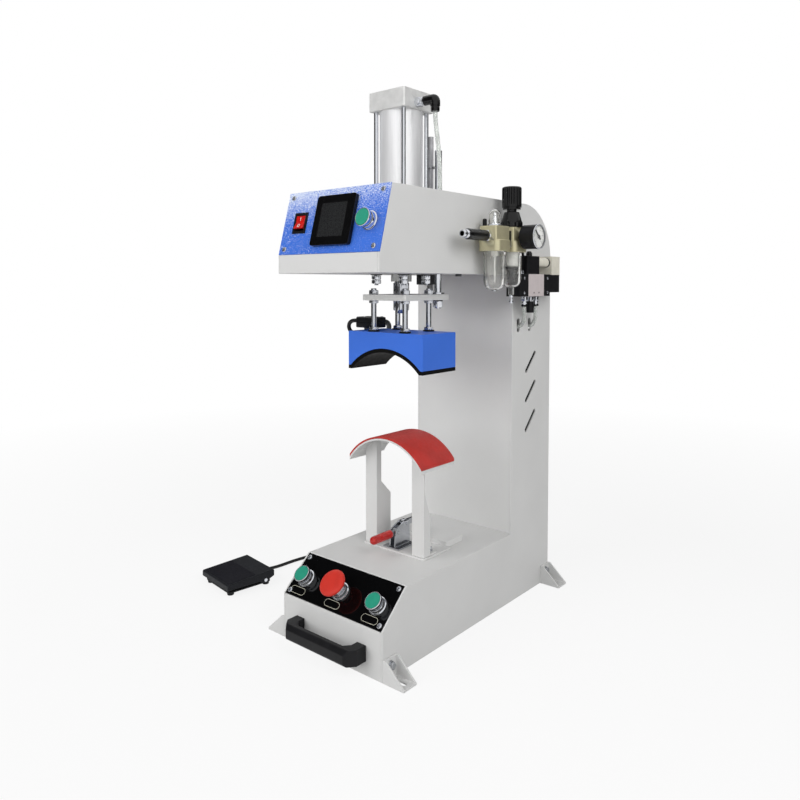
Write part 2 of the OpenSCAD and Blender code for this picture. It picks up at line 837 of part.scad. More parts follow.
module button_housings() {
    color([0.78, 0.79, 0.8]) {
        for (x = [-button_x, button_x])
            on_slope(x, button_s, 0) button_housing(stem_d);
        on_slope(0, button_s, 0) button_housing(pin_d);
        on_head(head_button_x, head_button_s, 0) button_housing(stem_d);
    }
}

// Green push button with its plunger and retaining collar
module push_button() {
    translate([0, 0, face_h - cap_t]) cylinder(h = cap_t - 1, d = button_d);
    translate([0, 0, face_h - 1])
        cylinder(h = 1, d1 = button_d, d2 = button_d - 2);
    translate([0, 0, -14]) cylinder(h = 14 + face_h - 2, d = stem_d);
    translate([0, 0, -shoulder - seat - 4]) cylinder(h = 4, d = stem_d + 3);
}

module start_button_left() {
    color([0.2, 0.6, 0.5]) on_slope(-button_x, button_s, 0) push_button();
}

module start_button_right() {
    color([0.2, 0.6, 0.5]) on_slope(button_x, button_s, 0) push_button();
}

module head_button() {
    color([0.2, 0.6, 0.5]) on_head(head_button_x, head_button_s, 0)
        push_button();
}

// Sliding stem of the emergency stop
module estop_stem() {
    color([0.8, 0.8, 0.82]) on_slope(0, button_s, 0) {
        translate([0, 0, -14]) cylinder(h = 14 + estop_face - 4, d = pin_d);
        translate([0, 0, -shoulder - seat - 4]) cylinder(h = 4, d = pin_d + 3);
    }
}

// Red mushroom head that turns on the stem
module estop_head() {
    low = estop_face - estop_h;
    color([0.84, 0.22, 0.18]) on_slope(0, button_s, 0) difference() {
        rotate_extrude($fn = 64) polygon([[0, low], [9, low],
            [10, low + 2], [estop_d / 2 - 5, low + 3.5],
            [estop_d / 2 - 1, low + 6], [estop_d / 2, low + 8],
            [estop_d / 2 - 1.5, low + 10.4], [estop_d / 2 - 6, estop_face],
            [0, estop_face]]);
        translate([0, 0, low - 1])
            cylinder(h = estop_h - 3 + seat, r = pin_d / 2 + run);
    }
}

module rocker_frame() {
    color([0.06, 0.06, 0.07]) on_head(rocker_x, rocker_s, 0) difference() {
        union() {
            translate([-rocker_w / 2, -rocker_h / 2, 0])
                cube([rocker_w, rocker_h, 2]);
            translate([-rocker_w / 2 + 2, -rocker_h / 2 + 2, -22])
                cube([rocker_w - 4, rocker_h - 4, 23]);
        }
        translate([-rocker_w / 2 + 4, -rocker_h / 2 + 4, -14])
            cube([rocker_w - 8, rocker_h - 8, 17]);
    }
    color([0.06, 0.06, 0.07]) on_head(rocker_x, rocker_s, -4)
        rotate([0, 90, 0]) cylinder(h = rocker_w - 7, r = 1.5, center = true);
}

// Rocker key: a shallow V-shaped bar on the frame's pin
module rocker_key() {
    half = rocker_h / 2 - 6;
    color([0.8, 0.1, 0.1]) on_head(rocker_x, rocker_s, -4)
        rotate([-9, 0, 0]) difference() {
            translate([-rocker_w / 2 + 4 + seat, 0, 0]) rotate([90, 0, 90])
                linear_extrude(rocker_w - 8 - 2 * seat) polygon([
                [-half, 7.5], [0, 5.5], [half, 7.5], [half - 1, 2],
                [4, -4], [-4, -4], [-half + 1, 2]]);
            rotate([0, 90, 0])
                cylinder(h = rocker_w, r = 1.5 + run, center = true);
        }
}

module hmi_housing() {
    color([0.05, 0.05, 0.06]) on_head(hmi_x, hmi_s, 0) difference() {
        union() {
            round_plate(hmi_w, hmi_h, 6, 4);
            translate([0, 0, -24]) round_plate(hmi_w - 8, hmi_h - 8, 25, 2);
        }
        translate([-1.5, 0.5, 4]) round_plate(52, 52, 3, 1);
    }
}

module hmi_screen() {
    color([0.13, 0.14, 0.15]) on_head(hmi_x, hmi_s, 0)
        translate([-1.5, 0.5, 4]) round_plate(51.6, 51.6, 1.6, 1);
}

// Switch blocks behind the buttons, relay and power supply in the column
module control_gear() {
    color([0.2, 0.21, 0.22]) {
        for (x = [-button_x, 0, button_x])
            on_slope(x, button_s, -body_depth - 22)
            translate([-12, -15, 0]) cube([24, 30, 22]);
        on_head(head_button_x, head_button_s, -body_depth - 22)
            translate([-12, -15, 0]) cube([24, 30, 22]);
        translate([-inner_w / 2, column_y + 20, 250])
            cube([40, 80, 100]);
        translate([-inner_w / 2, column_y + 26, 380])
            cube([28, 60, 46]);
        translate([-inner_w / 2, column_y + 20, 450])
            cube([22, 84, 24]);
    }
}

module rear_sockets() {
    color([0.07, 0.07, 0.08]) {
        translate([-52, rear_y, 72]) difference() {
            union() {
                lengthways(0, 3) round_rect(48, 27, 4);
                translate([-14, -20, -10]) cube([28, 21, 20]);
            }
            translate([-12, -12, -8]) cube([24, 20, 16]);
        }
        translate([gland_x, rear_y, gland_z]) rotate([-90, 0, 0]) union() {
            hex(18, 5);
            cylinder(h = gland_l, d1 = 13, d2 = 10);
            translate([0, 0, -8]) cylinder(h = 9, d = 12);
            translate([0, 0, -skin_t - 4]) hex(18, 4);
        }
    }
}

// Rectangle with rounded corners, its middle at the origin
module round_rect(w, l, r) {
    square([w - 2 * r, l], center = true);
    square([w, l - 2 * r], center = true);
    corners(w - 2 * r, l - 2 * r) circle(r);
}

module cylinder_barrel() {
    color([0.85, 0.85, 0.86]) translate([0, axis_y, tube_z]) difference() {
        cylinder(h = tube_l, d = tube_d, $fn = 96);
        translate([0, 0, -1]) cylinder(h = tube_l + 2, d = cyl_bore, $fn = 96);
    }
}

module cylinder_caps() {
    color([0.84, 0.84, 0.84]) translate([0, axis_y, 0]) {
        difference() {
            union() {
                translate([0, 0, cap_z]) round_plate(cap_w, cap_w, cap_h, 3);
                translate([0, 0, arm_z - boss_drop])
                    cylinder(h = floor_t + boss_drop + 1, d = boss_d);
            }
            translate([0, 0, arm_z - boss_drop - 1])
                cylinder(h = cap_h + floor_t + boss_drop + 2,
                r = rod_d / 2 + run);
            translate([cap_w / 2 - 10, port_y - axis_y, port_z])
                rotate([0, 90, 0]) cylinder(h = 11, d = 10 + 2 * loose);
            translate([0, 0, cap_z - 1]) corners(tie_pitch, tie_pitch)
                cylinder(h = cap_h + 2, d = tie_d + 2 * loose);
        }
        difference() {
            translate([0, 0, top_z]) round_plate(cap_w, cap_w, cap_h, 3);
            translate([0, 0, top_z - 1]) corners(tie_pitch, tie_pitch)
                cylinder(h = cap_h + 2, d = tie_d + 2 * loose);
            translate([0, 0, cyl_top - 7]) corners(tie_pitch, tie_pitch)
                cylinder(h = 8, d = 13);
            translate([cap_w / 2 - 10, hose_y - axis_y, elbow_z])
                rotate([0, 90, 0]) cylinder(h = 11, d = 10 + 2 * loose);
        }
    }
}

module tie_rods() {
    low = arm_z - 2 * nut_h - 4;
    color([0.78, 0.78, 0.8]) translate([0, axis_y, 0])
        corners(tie_pitch, tie_pitch) {
            translate([0, 0, low]) cylinder(h = cyl_top - 4 - low, d = tie_d);
            translate([0, 0, cyl_top - 7]) cylinder(h = 5, d = 11);
            translate([0, 0, arm_z - 1.6]) cylinder(h = 1.6, d = 19);
            for (i = [1, 2]) translate([0, 0, arm_z - 1.6 - i * nut_h])
                hex(nut_af - 2, nut_h - 0.4);
        }
}

module air_fittings() {
    inlet_y = lub_y - unit_w / 2;
    color([0.3, 0.3, 0.32]) {
        translate([0, hose_y, elbow_z]) union() {
            translate([cap_w / 2 - 8, 0, 0]) rotate([0, 90, 0])
                cylinder(h = 9, d = 10);
            translate([cap_w / 2, 0, 0]) rotate([0, 90, 0])
                hex(elbow_d - 1, elbow_nut + 1);
            translate([cap_w / 2 + elbow_nut, 0, 0]) rotate([0, 90, 0])
                cylinder(h = hose_x - cap_w / 2 - elbow_nut, d = elbow_d);
            translate([hose_x, 0, 0]) sphere(d = elbow_d + 1);
            translate([hose_x, 0, -elbow_drop])
                cylinder(h = elbow_drop, d = elbow_d - 1);
        }
        translate([cap_w / 2 - 8, port_y, port_z]) rotate([0, 90, 0]) {
            cylinder(h = 9, d = 10);
            translate([0, 0, 8]) hex(13, 6);
            translate([0, 0, 13]) cylinder(h = 54 - cap_w / 2 - 5, d = 11);
        }
        translate([unit_x, inlet_y, gauge_z]) rotate([90, 0, 0])
            difference() {
                union() {
                    hex(17, 7);
                    translate([0, 0, 6]) cylinder(h = 5, d1 = 12, d2 = 17);
                    translate([0, 0, 11]) cylinder(h = 46, d = 17);
                    translate([0, 0, 57]) cylinder(h = 4, d1 = 17, d2 = 13);
                    translate([0, 0, 61]) cylinder(h = 9, d = 12);
                }
                translate([0, 0, 50]) cylinder(h = 21, d = port_d);
            }
        translate([unit_x - 3, reg_y + unit_w / 2, gauge_z]) union() {
            rotate([-90, 0, 0]) cylinder(h = 13, d = 13);
            translate([0, 13, 0]) sphere(d = 14);
            translate([0, 13, valve_top - gauge_z])
                cylinder(h = gauge_z - valve_top, d = 13);
        }
        for (y = [107, 145]) translate([126.5, y, 524]) union() {
            cylinder(h = 3, d = 11);
            translate([0, 0, 3]) cylinder(h = 7, d = 9);
            translate([0, 0, 10]) hex(11, valve_z - 534);
        }
        translate([126.5, 126, 513]) union() {
            cylinder(h = 20, d = 14);
            translate([0, 0, 20]) hex(12, valve_z - 533);
        }
    }
}

module air_hoses() {
    color([0.8, 0.85, 0.86]) {
        tube_along(upper_route, hose_d, 8);
        tube_along(lower_route, hose_d, 8);
    }
}

module piston_rod() {
    color([0.8, 0.81, 0.83]) translate([0, axis_y, 0]) {
        translate([0, 0, piston_z])
            cylinder(h = piston_h, r = cyl_bore / 2 - run, $fn = 96);
        translate([0, 0, plate_top + 2])
            cylinder(h = piston_z - plate_top, d = rod_d);
        translate([0, 0, plate_top]) hex(24, coupling_h);
        translate([0, 0, plate_z - 20])
            cylinder(h = plate_t + 22, d = rod_d - 6);
        translate([0, 0, plate_z - 17]) hex(24, 17);
    }
}

module head_plate() {
    color([0.76, 0.77, 0.78]) translate([0, axis_y, plate_z]) difference() {
        translate([0, plate_d / 2 - plate_front, 0])
            round_plate(plate_w, plate_d, plate_t, 3);
        translate([0, 0, -1]) {
            cylinder(h = plate_t + 2, d = rod_d - 6 + 2 * loose);
            corners(stud_pitch_x, stud_pitch_y)
                cylinder(h = plate_t + 2, d = stud_d + 2 * loose);
            translate([guide_x, guide_y, 0])
                cylinder(h = plate_t + 2, d = guide_d - 2 + 2 * loose);
        }
    }
}

module platen_studs() {
    color([0.78, 0.78, 0.8]) translate([0, axis_y, 0])
        corners(stud_pitch_x, stud_pitch_y) {
            translate([0, 0, platen_top - 20])
                cylinder(h = stud_gap + plate_t + 30, d = stud_d);
            translate([0, 0, plate_top]) hex(14, 7);
            translate([0, 0, plate_z - 5]) hex(14, 5);
            translate([0, 0, platen_top + 2.4]) hex(14, 5);
            translate([0, 0, platen_top]) cylinder(h = 2.4, d = 19);
        }
}

module guide_rod() {
    color([0.82, 0.83, 0.85])
        translate([guide_x, axis_y + guide_y, 0]) {
            translate([0, 0, plate_top])
                cylinder(h = guide_top - plate_top, d = guide_d);
            translate([0, 0, plate_top]) cylinder(h = 3, d = 23);
            translate([0, 0, plate_z - 12])
                cylinder(h = plate_t + 13, d = guide_d - 2);
            translate([0, 0, plate_z - 12]) hex(15, 12);
            translate([0, 0, plate_z - 12]) sphere(d = 13);
        }
}

module guide_bush() {
    color([0.7, 0.6, 0.4])
        translate([guide_x, axis_y + guide_y, arm_z]) difference() {
            union() {
                cylinder(h = bush_l, d = bush_d);
                translate([0, 0, floor_t]) cylinder(h = 5, d = 32);
            }
            translate([0, 0, -1])
                cylinder(h = bush_l + 2, r = guide_d / 2 + run);
        }
}

// Upper stop: a long set screw through the arm with its lock block
module stop_rod() {
    color([0.3, 0.3, 0.31])
        translate([stop_x, axis_y + stop_y, 0]) {
            translate([0, 0, plate_top + stop_gap])
                cylinder(h = stop_top - plate_top - stop_gap, d = stop_d);
            translate([0, 0, stop_ring]) cylinder(h = 4, d = stop_d + 3);
            translate([0, 0, arm_top]) cylinder(h = 3, d = 17);
            translate([-24, -8, arm_z - 17]) cube([32, 16, 17]);
        }
}

// Outline of the platen housing across the press
module housing_outline(inset) {
    difference() {
        translate([-die_w / 2 + inset, platen_low])
            square([die_w - 2 * inset, platen_top - platen_low - inset]);
        translate([0, die_cz]) circle(arch_r, $fn = 128);
    }
}

module platen_housing() {
    color([0.27, 0.46, 0.85]) difference() {
        lengthways(axis_y - die_d / 2, die_d) housing_outline(0);
        translate([-die_w / 2 + housing_t, axis_y - die_d / 2 + housing_t,
            platen_low - 1])
            cube([die_w - 2 * housing_t, die_d - 2 * housing_t,
            platen_top - platen_low + 1 - housing_t]);
        translate([0, axis_y, platen_top - 10])
            corners(stud_pitch_x, stud_pitch_y)
            cylinder(h = 20, d = stud_d + 2 * loose);
        translate([-die_w / 2 - 1, lead_y, lead_z]) rotate([0, 90, 0])
            cylinder(h = housing_t + 2, d = lead_d + 1);
    }
}

// Cast heater block in the housing with bores for its heating rods
module heater_plate() {
    gap = housing_t + seat;
    color([0.7, 0.71, 0.72]) difference() {
        intersection() {
            lengthways(axis_y - die_d / 2 + gap, die_d - 2 * gap)
                housing_outline(gap);
            translate([-die_w, axis_y - die_d, platen_low])
                cube([2 * die_w, 2 * die_d, platen_top - platen_low - 8]);
        }
        translate([0, axis_y, platen_top - 21])
            corners(stud_pitch_x, stud_pitch_y)
            cylinder(h = 22, d = stud_d + 2 * loose);
        for (i = [-1, 1]) for (a = [8, 27, 37])
            translate([0, axis_y, die_cz]) rotate([0, i * a, 0])
            translate([0, 0, arch_r + 8]) rotate([90, 0, 0])
            cylinder(h = die_d, d = 7, center = true);
    }
}

module platen_liner() {
    foot = 6;
    color([0.09, 0.09, 0.09])
        lengthways(axis_y - die_d / 2, die_d) difference() {
            union() {
                intersection() {
                    translate([0, die_cz]) circle(arch_r - 0.02, $fn = 128);
                    translate([-die_w / 2, platen_low - foot])
                        square([die_w, arch_r]);
                }
                translate([-die_w / 2, platen_low - foot])
                    square([die_w, foot]);
            }
            translate([0, die_cz]) circle(liner_r, $fn = 128);
        }
}

module heater_plug() {
    color([0.08, 0.08, 0.09]) {
        translate([-67, -73, platen_top + 4]) difference() {
            round_plate(42, 34, 18, 3);
            translate([-22, -0.5, 15]) cube([44, 1, 4]);
        }
        translate([-77, -80, platen_top]) cube([20, 14, 4]);
        tube_along(loop_route, lead_d, 8);
    }
}

module heater_cable() {
    color([0.07, 0.07, 0.07]) tube_along(supply_route, cable_d, 10);
}

module form_base() {
    w = leg_span + 6;
    l = leg_d + 40;
    half = leg_span / 2 - 5;
    y0 = leg_y - 4 + l;
    color([0.84, 0.84, 0.83]) difference() {
        union() {
            translate([0, leg_y - 4 + l / 2, base_h])
                round_plate(w, l, base_t, 6);
            translate([-half, y0 - 6, tongue_z]) cube([2 * half, 48, tongue_t]);
            translate([-half, y0 - 6, base_h])
                cube([2 * half, tongue_t, tongue_z - base_h + 1]);
            for (x = [-half, half - tongue_t])
                translate([x, y0 - 6, base_h])
                cube([tongue_t, 48, tongue_z - base_h + 1]);
        }
        form_bolts(bolt_d + 2 * loose);
    }
}

// One leg of the form, a channel that opens to the back
module form_leg() {
    y1 = leg_y;
    y2 = leg_y + leg_d;
    up = leg_top - deck_z;
    translate([leg_x, y1, deck_z]) cube([leg_w, leg_t, up + 22]);
    translate([leg_x, y1, deck_z]) cube([leg_w, leg_d, leg_t]);
    across(leg_x, leg_t) polygon([[y1, deck_z], [y2, deck_z],
        [y2, deck_z + up * 0.5], [y1 + 12, deck_z + up * 0.65],
        [y1 + 12, leg_top + 22], [y1, leg_top + 22]]);
    across(leg_x + leg_w - leg_t, leg_t) polygon([[y1, deck_z],
        [y1 + 17, deck_z], [y1 + 17, deck_z + up * 0.38],
        [y1 + leg_t, deck_z + up * 0.66], [y1, deck_z + up * 0.66]]);
}

module form_stand() {
    color([0.86, 0.86, 0.86]) {
        difference() {
            for (i = [0, 1]) mirror([i, 0, 0]) form_leg();
            translate([0, axis_y, form_cz]) difference() {
                translate([-leg_span / 2 - 1, -die_d, 0])
                    cube([leg_span + 2, 2 * die_d, saddle_r + 22]);
                rotate([90, 0, 0]) cylinder(h = 3 * die_d,
                    r = saddle_r - saddle_t / 2, center = true, $fn = 128);
            }
            form_bolts(bolt_d + 2 * loose);
        }
        form_arc(saddle_r, saddle_r - saddle_t);
    }
}

// Arched shell between two radii, cut to the form's width and depth
module form_arc(r1, r2) {
    lengthways(axis_y - die_d / 2, die_d) intersection() {
        translate([0, form_cz]) difference() {
            circle(r1, $fn = 128);
            circle(r2, $fn = 128);
        }
        translate([-form_w / 2, form_cz]) square([form_w, 2 * r1]);
    }
}

module form_pad() {
    color([0.8, 0.16, 0.14]) form_arc(pad_r, saddle_r);
}

module clamp_frame() {
    y1 = lever_y - 12;
    y2 = arm_y + 10;
    color([0.75, 0.76, 0.77]) translate([clamp_x, 0, 0]) {
        translate([-17, y1, deck_z]) cube([34, y2 - y1, cheek_t]);
        for (i = [-1, 1])
            across(i * (cheek_gap + cheek_t) / 2 - cheek_t / 2, cheek_t)
            polygon([[y1 + 3, deck_z], [y2 - 2, deck_z],
            [arm_y + 7, arm_pz + 5], [arm_y - 7, arm_pz + 5],
            [lever_y - 7, lever_z + 5], [lever_y - 7, lever_z - 6]]);
        for (p = [[lever_y, lever_z], [arm_y, arm_pz]])
            translate([0, p[0], p[1]]) rotate([0, 90, 0])
            cylinder(h = cheek_gap + 2 * cheek_t + 3, d = clamp_pin,
            center = true);
    }
}

module clamp_lever() {
    color([0.76, 0.77, 0.78]) difference() {
        across(clamp_x - bar_w / 2, bar_w) union() {
            translate([lever_y, lever_z]) circle(6.5);
            translate([grip_y - grip_l + 6, lever_z - 4])
                square([lever_y - grip_y + grip_l - 6, 8]);
        }
        translate([clamp_x, lever_y, lever_z]) rotate([0, 90, 0])
            cylinder(h = bar_w + 2, r = clamp_pin / 2 + run, center = true);
    }
}

module clamp_grip() {
    end = grip_y - grip_l;
    color([0.82, 0.08, 0.07]) difference() {
        translate([clamp_x, 0, lever_z]) union() {
            translate([0, end + pad_h / 2, 0]) sphere(d = pad_h);
            translate([0, end + pad_h / 2, 0]) rotate([-90, 0, 0])
                cylinder(h = grip_l - pad_h / 2 - 6, d = pad_h);
        }
        translate([clamp_x - bar_w / 2, grip_y - grip_l + 6, lever_z - 4])
            cube([bar_w, grip_l + 8, 8]);
    }
}

module clamp_arm() {
    tip = tongue_z + tongue_t + seat;
    color([0.74, 0.75, 0.76]) difference() {
        union() {
            across(clamp_x - bar_w / 2, bar_w) union() {
                translate([arm_y, arm_pz]) circle(6.5);
                translate([arm_y, arm_pz - 4.5])
                    square([spindle_y + 8 - arm_y, 9]);
            }
            translate([clamp_x, spindle_y, tip + 4])
                cylinder(h = arm_pz + 12 - tip - 4, d = 6);
            translate([clamp_x, spindle_y, arm_pz + 4.5]) hex(11, 5);
            translate([clamp_x, spindle_y, arm_pz - 9.5]) hex(11, 5);
            translate([clamp_x, spindle_y, tip])
                cylinder(h = 8, d1 = 15, d2 = 10);
        }
        translate([clamp_x, arm_y, arm_pz]) rotate([0, 90, 0])
            cylinder(h = bar_w + 2, r = clamp_pin / 2 + run, center = true);
    }
}

// One cast body of the air unit with its round neck
module unit_body(y) {
    translate([unit_x, y, unit_z]) {
        round_plate(unit_w, unit_w, unit_w * 0.45, 9);
        translate([0, 0, unit_w * 0.45 - 1])
            round_plate(unit_w * 0.8, unit_w, unit_w * 0.55 + 1, 3);
    }
}

module frl_bodies() {
    gap = reg_y - lub_y - unit_w;
    color([0.84, 0.8, 0.65]) {
        unit_body(lub_y);
        unit_body(reg_y);
        translate([unit_x - 13, lub_y + unit_w / 2, unit_z + 8])
            cube([26, gap, 26]);
        translate([body_w / 2, lub_y + unit_w / 2 + 1, unit_z + 4])
            cube([unit_off - 12, gap - 2, 34]);
    }
    color([0.07, 0.07, 0.08]) translate([unit_x, reg_y, unit_top]) {
        cylinder(h = 10, d = 34);
        translate([0, 0, 10]) cylinder(h = 16, d1 = 34, d2 = 24);
        translate([0, 0, 26]) cylinder(h = 12, d = neck_d);
    }
}

// Bowl of the air unit, hollow, with its upper edge at z = 0
module bowl(d, l) {
    difference() {
        union() {
            translate([0, 0, -l + 10]) cylinder(h = l - 10, d = d);
            translate([0, 0, -l]) cylinder(h = 10, d1 = d - 14, d2 = d);
        }
        translate([0, 0, -l + 12]) cylinder(h = l - 11, d = d - 6);
    }
}

module frl_bowls() {
    color([0.85, 0.9, 0.9, 0.5]) {
        translate([unit_x, lub_y, unit_z]) bowl(37, 62);
        translate([unit_x, reg_y, unit_z]) {
            bowl(35, 58);
            translate([0, 0, -70]) cylinder(h = 13, d = 9);
            translate([0, 0, -84]) cylinder(h = 14, d = 7);
        }
        translate([unit_x, lub_y, unit_top]) {
            cylinder(h = 17, d = 20);
            translate([0, 0, 17]) sphere(d = 20);
        }
        translate([unit_x - 13.6, lub_y - 8, unit_top]) cylinder(h = 12, d = 7);
    }
}

module regulator_knob() {
    color([0.08, 0.08, 0.09]) translate([unit_x, reg_y, knob_z])
        difference() {
            union() {
                cylinder(h = 4, d = knob_d - 3);
                translate([0, 0, 3]) cylinder(h = knob_h - 5, d = knob_d);
                translate([0, 0, knob_h - 2])
                    cylinder(h = 2, d1 = knob_d, d2 = knob_d - 4);
            }
            translate([0, 0, -1])
                cylinder(h = 10, r = neck_d / 2 + run);
            for (a = [0:15:345]) rotate(a) translate([knob_d / 2 + 0.6, 0, 6])
                cylinder(h = knob_h, d = 2.6, $fn = 16);
        }
}

module pressure_gauge() {
    color([0.08, 0.08, 0.09]) translate([gauge_x - 5, reg_y, gauge_z])
        rotate([0, 90, 0]) difference() {
            union() {
                translate([0, 0, unit_neck]) cylinder(h = 6 - unit_neck, d = 10);
                translate([0, 0, 5]) cylinder(h = gauge_l - 4, d = gauge_d - 1);
                translate([0, 0, gauge_l]) cylinder(h = 5, d = gauge_d);
            }
            translate([0, 0, gauge_l + 2]) difference() {
                cylinder(h = 4, d = gauge_d - 4);
                cylinder(h = 2.4, r = 1.2);
            }
        }
}

module gauge_needle() {
    color([0.05, 0.05, 0.05])
        translate([gauge_x - 5 + gauge_l + 2.6, reg_y, gauge_z])
        rotate([0, 90, 0]) difference() {
            union() {
                cylinder(h = 1, r = 3);
                rotate(needle_turn) linear_extrude(1) polygon([[-1.4, -6],
                    [-0.7, 14], [0.7, 14], [1.4, -6]]);
            }
            translate([0, 0, -1]) cylinder(h = 3, r = 1.2 + run);
        }
}

module valve_body() {
    color([0.8, 0.8, 0.81]) {
        difference() {
            translate([valve_x, valve_y, valve_z])
                cube([valve_w, valve_l, valve_h]);
            for (y = [valve_l * 0.36, valve_l * 0.68])
                translate([valve_x - 1, valve_y + y, valve_z + 6])
                rotate([0, 90, 0]) cylinder(h = valve_w + 2, d = 3.4);
        }
        for (y = [8, valve_l - 8])
            translate([body_w / 2, valve_y + y, valve_z + valve_h - 10])
            rotate([0, 90, 0])
            cylinder(h = valve_x - body_w / 2 + 1, d = 8);
    }
}

module valve_pilot() {
    back = valve_y + valve_l;
    color([0.08, 0.08, 0.08]) {
        translate([valve_x, valve_y - valve_end, valve_z])
            cube([valve_w, valve_end, valve_h]);
        translate([valve_x, back, valve_z]) cube([valve_w, 21, valve_h]);
        translate([valve_x + 1, back + 21, valve_z + 6])
            cube([valve_w - 2, 37, valve_h - 7]);
        translate([valve_x + 1, valve_y - 4, valve_top])
            cube([valve_w - 2, 42, 31]);
    }
    color([0.88, 0.86, 0.8]) {
        translate([valve_x + 14, valve_y + 38, valve_top + 21])
            rotate([-90, 0, 0]) cylinder(h = 44, d = 17);
        translate([valve_x + 1, valve_y + 82, valve_top - 1])
            cube([valve_w - 2, 30, 33]);
    }
}

module pedal_base() {
    color([0.06, 0.06, 0.07]) on_pedal() {
        corners(pedal_w - 24, pedal_l - 24) cylinder(h = pedal_foot + 1,
            d1 = 12, d2 = 14);
        translate([0, 0, pedal_foot])
            round_plate(pedal_w - 10, pedal_l - 10, pedal_plate, 4);
        for (i = [-1, 1])
            across(i * (pedal_w / 2 - 7.5) - 1.5, 3)
            polygon([[pedal_pin_y - 10, pedal_foot], [pedal_pin_y + 10,
            pedal_foot], [pedal_pin_y + 4, pedal_pin_z + 5],
            [pedal_pin_y - 4, pedal_pin_z + 5]]);
        translate([0, pedal_pin_y, pedal_pin_z]) rotate([0, 90, 0])
            cylinder(h = pedal_w + 2, d = pedal_pin, center = true);
        translate([0, pedal_l / 2 - 9, pedal_foot + 1])
            translate([-8, 0, 0]) cube([16, 4.4, 8]);
        translate([0, pedal_l / 2 - 6, 9]) rotate([-90, 0, 0])
            cylinder(h = 6, d = 10);
    }
}

// Treadle: a tray turned over the base, with a bore for the pin
module pedal_treadle() {
    w = pedal_w / 2;
    l = pedal_l / 2;
    front = pedal_h - pedal_fall;
    color([0.1, 0.1, 0.12]) on_pedal() difference() {
        across(-w, pedal_w) polygon([[-l, front - 11], [-l, front - 2],
            [-l + 2, front], [l - 2, pedal_h], [l, pedal_h - 2],
            [l, pedal_h - 12], [pedal_pin_y + 9, pedal_pin_z],
            [pedal_pin_y + 5, pedal_pin_z - 5],
            [pedal_pin_y - 5, pedal_pin_z - 5],
            [pedal_pin_y - 12, front - 11]]);
        across(-w + pedal_wall, pedal_w - 2 * pedal_wall) polygon([
            [-l + pedal_wall, -1], [-l + pedal_wall, front - pedal_wall],
            [l - pedal_wall, pedal_h - pedal_wall], [l - pedal_wall, -1]]);
        translate([0, pedal_pin_y, pedal_pin_z]) rotate([0, 90, 0])
            cylinder(h = pedal_w + 2, r = pedal_pin / 2 + run, center = true);
        translate([-12, l - 4, -1]) cube([24, 5, 18]);
    }
}

module pedal_switch() {
    color([0.15, 0.16, 0.18]) on_pedal() {
        translate([-14, -8, pedal_foot + pedal_plate]) cube([28, 16, 7]);
        translate([-4, -3, pedal_foot + pedal_plate + 7]) cube([6, 6, 2]);
    }
}

module pedal_cord() {
    color([0.06, 0.06, 0.06]) tube_along(cord_route, cord_d, 8);
}

// Path of the coil: in to the middle on the floor, out again on top
function coil_at(u) = let (turns = 2 * coil_half, a = 360 * turns * u - 90,
    in = abs(2 * u - 1), r = coil_r + coil_pitch * coil_half * (in - 0.5),
    up = min(1, max(0, (turns * u - coil_half) * 2 + 0.5)))
    [coil_x + r * cos(a), coil_y + r * sin(a),
    3.2 + up * (cord_d + 0.5)];
coil_n = coil_rings * 2 * coil_half;
coil_path = concat([coil_at(0) - [cord_d, 0, 0]],
    [for (i = [0:coil_n]) coil_at(i / coil_n)],
    [coil_at(1) + [cord_d, 0, 0]]);

// Least gap of the coil to itself, between rings over half a turn apart
coil_gap = min([for (i = [0:coil_n + 2]) for (k = [i + 14:1:coil_n + 2])
    norm(coil_path[i] - coil_path[k])]) - cord_d;

module pedal_coil() {
    echo(coil_gap = coil_gap);
    color([0.06, 0.06, 0.06]) tube_along(coil_path, cord_d, 6);
}

module pedal_cord_rear() {
    color([0.06, 0.06, 0.06]) tube_along(rear_route, cord_d, 8);
}

side_plate_left();
side_plate_right();
base_skin();
column_front();
arm_floor();
arm_roof();
rear_cover();
foot_brackets();
fasteners();
control_panel();
head_panel();
carry_handle();
button_housings();
start_button_left();
start_button_right();
head_button();
estop_stem();
estop_head();
rocker_frame();
rocker_key();
hmi_housing();
hmi_screen();
control_gear();
rear_sockets();
cylinder_barrel();
cylinder_caps();
tie_rods();
air_fittings();
air_hoses();
piston_rod();
head_plate();
platen_studs();
guide_rod();
guide_bush();
stop_rod();
platen_housing();
heater_plate();
platen_liner();
heater_plug();
heater_cable();
form_base();
form_stand();
form_pad();
clamp_frame();
clamp_lever();
clamp_grip();
clamp_arm();
frl_bodies();
frl_bowls();
regulator_knob();
pressure_gauge();
gauge_needle();
valve_body();
valve_pilot();
pedal_base();
pedal_treadle();
pedal_switch();
pedal_cord();
pedal_coil();
pedal_cord_rear();
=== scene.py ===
"""Cap heat press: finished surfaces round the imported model, in metres.

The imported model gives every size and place. This script lays smooth
surfaces, small details and procedural finishes over it. New surfaces are
worked out with numpy as functions of two parameters. Lengths in the
functions are in millimetres and become metres when a mesh is made.
"""

import json
import math

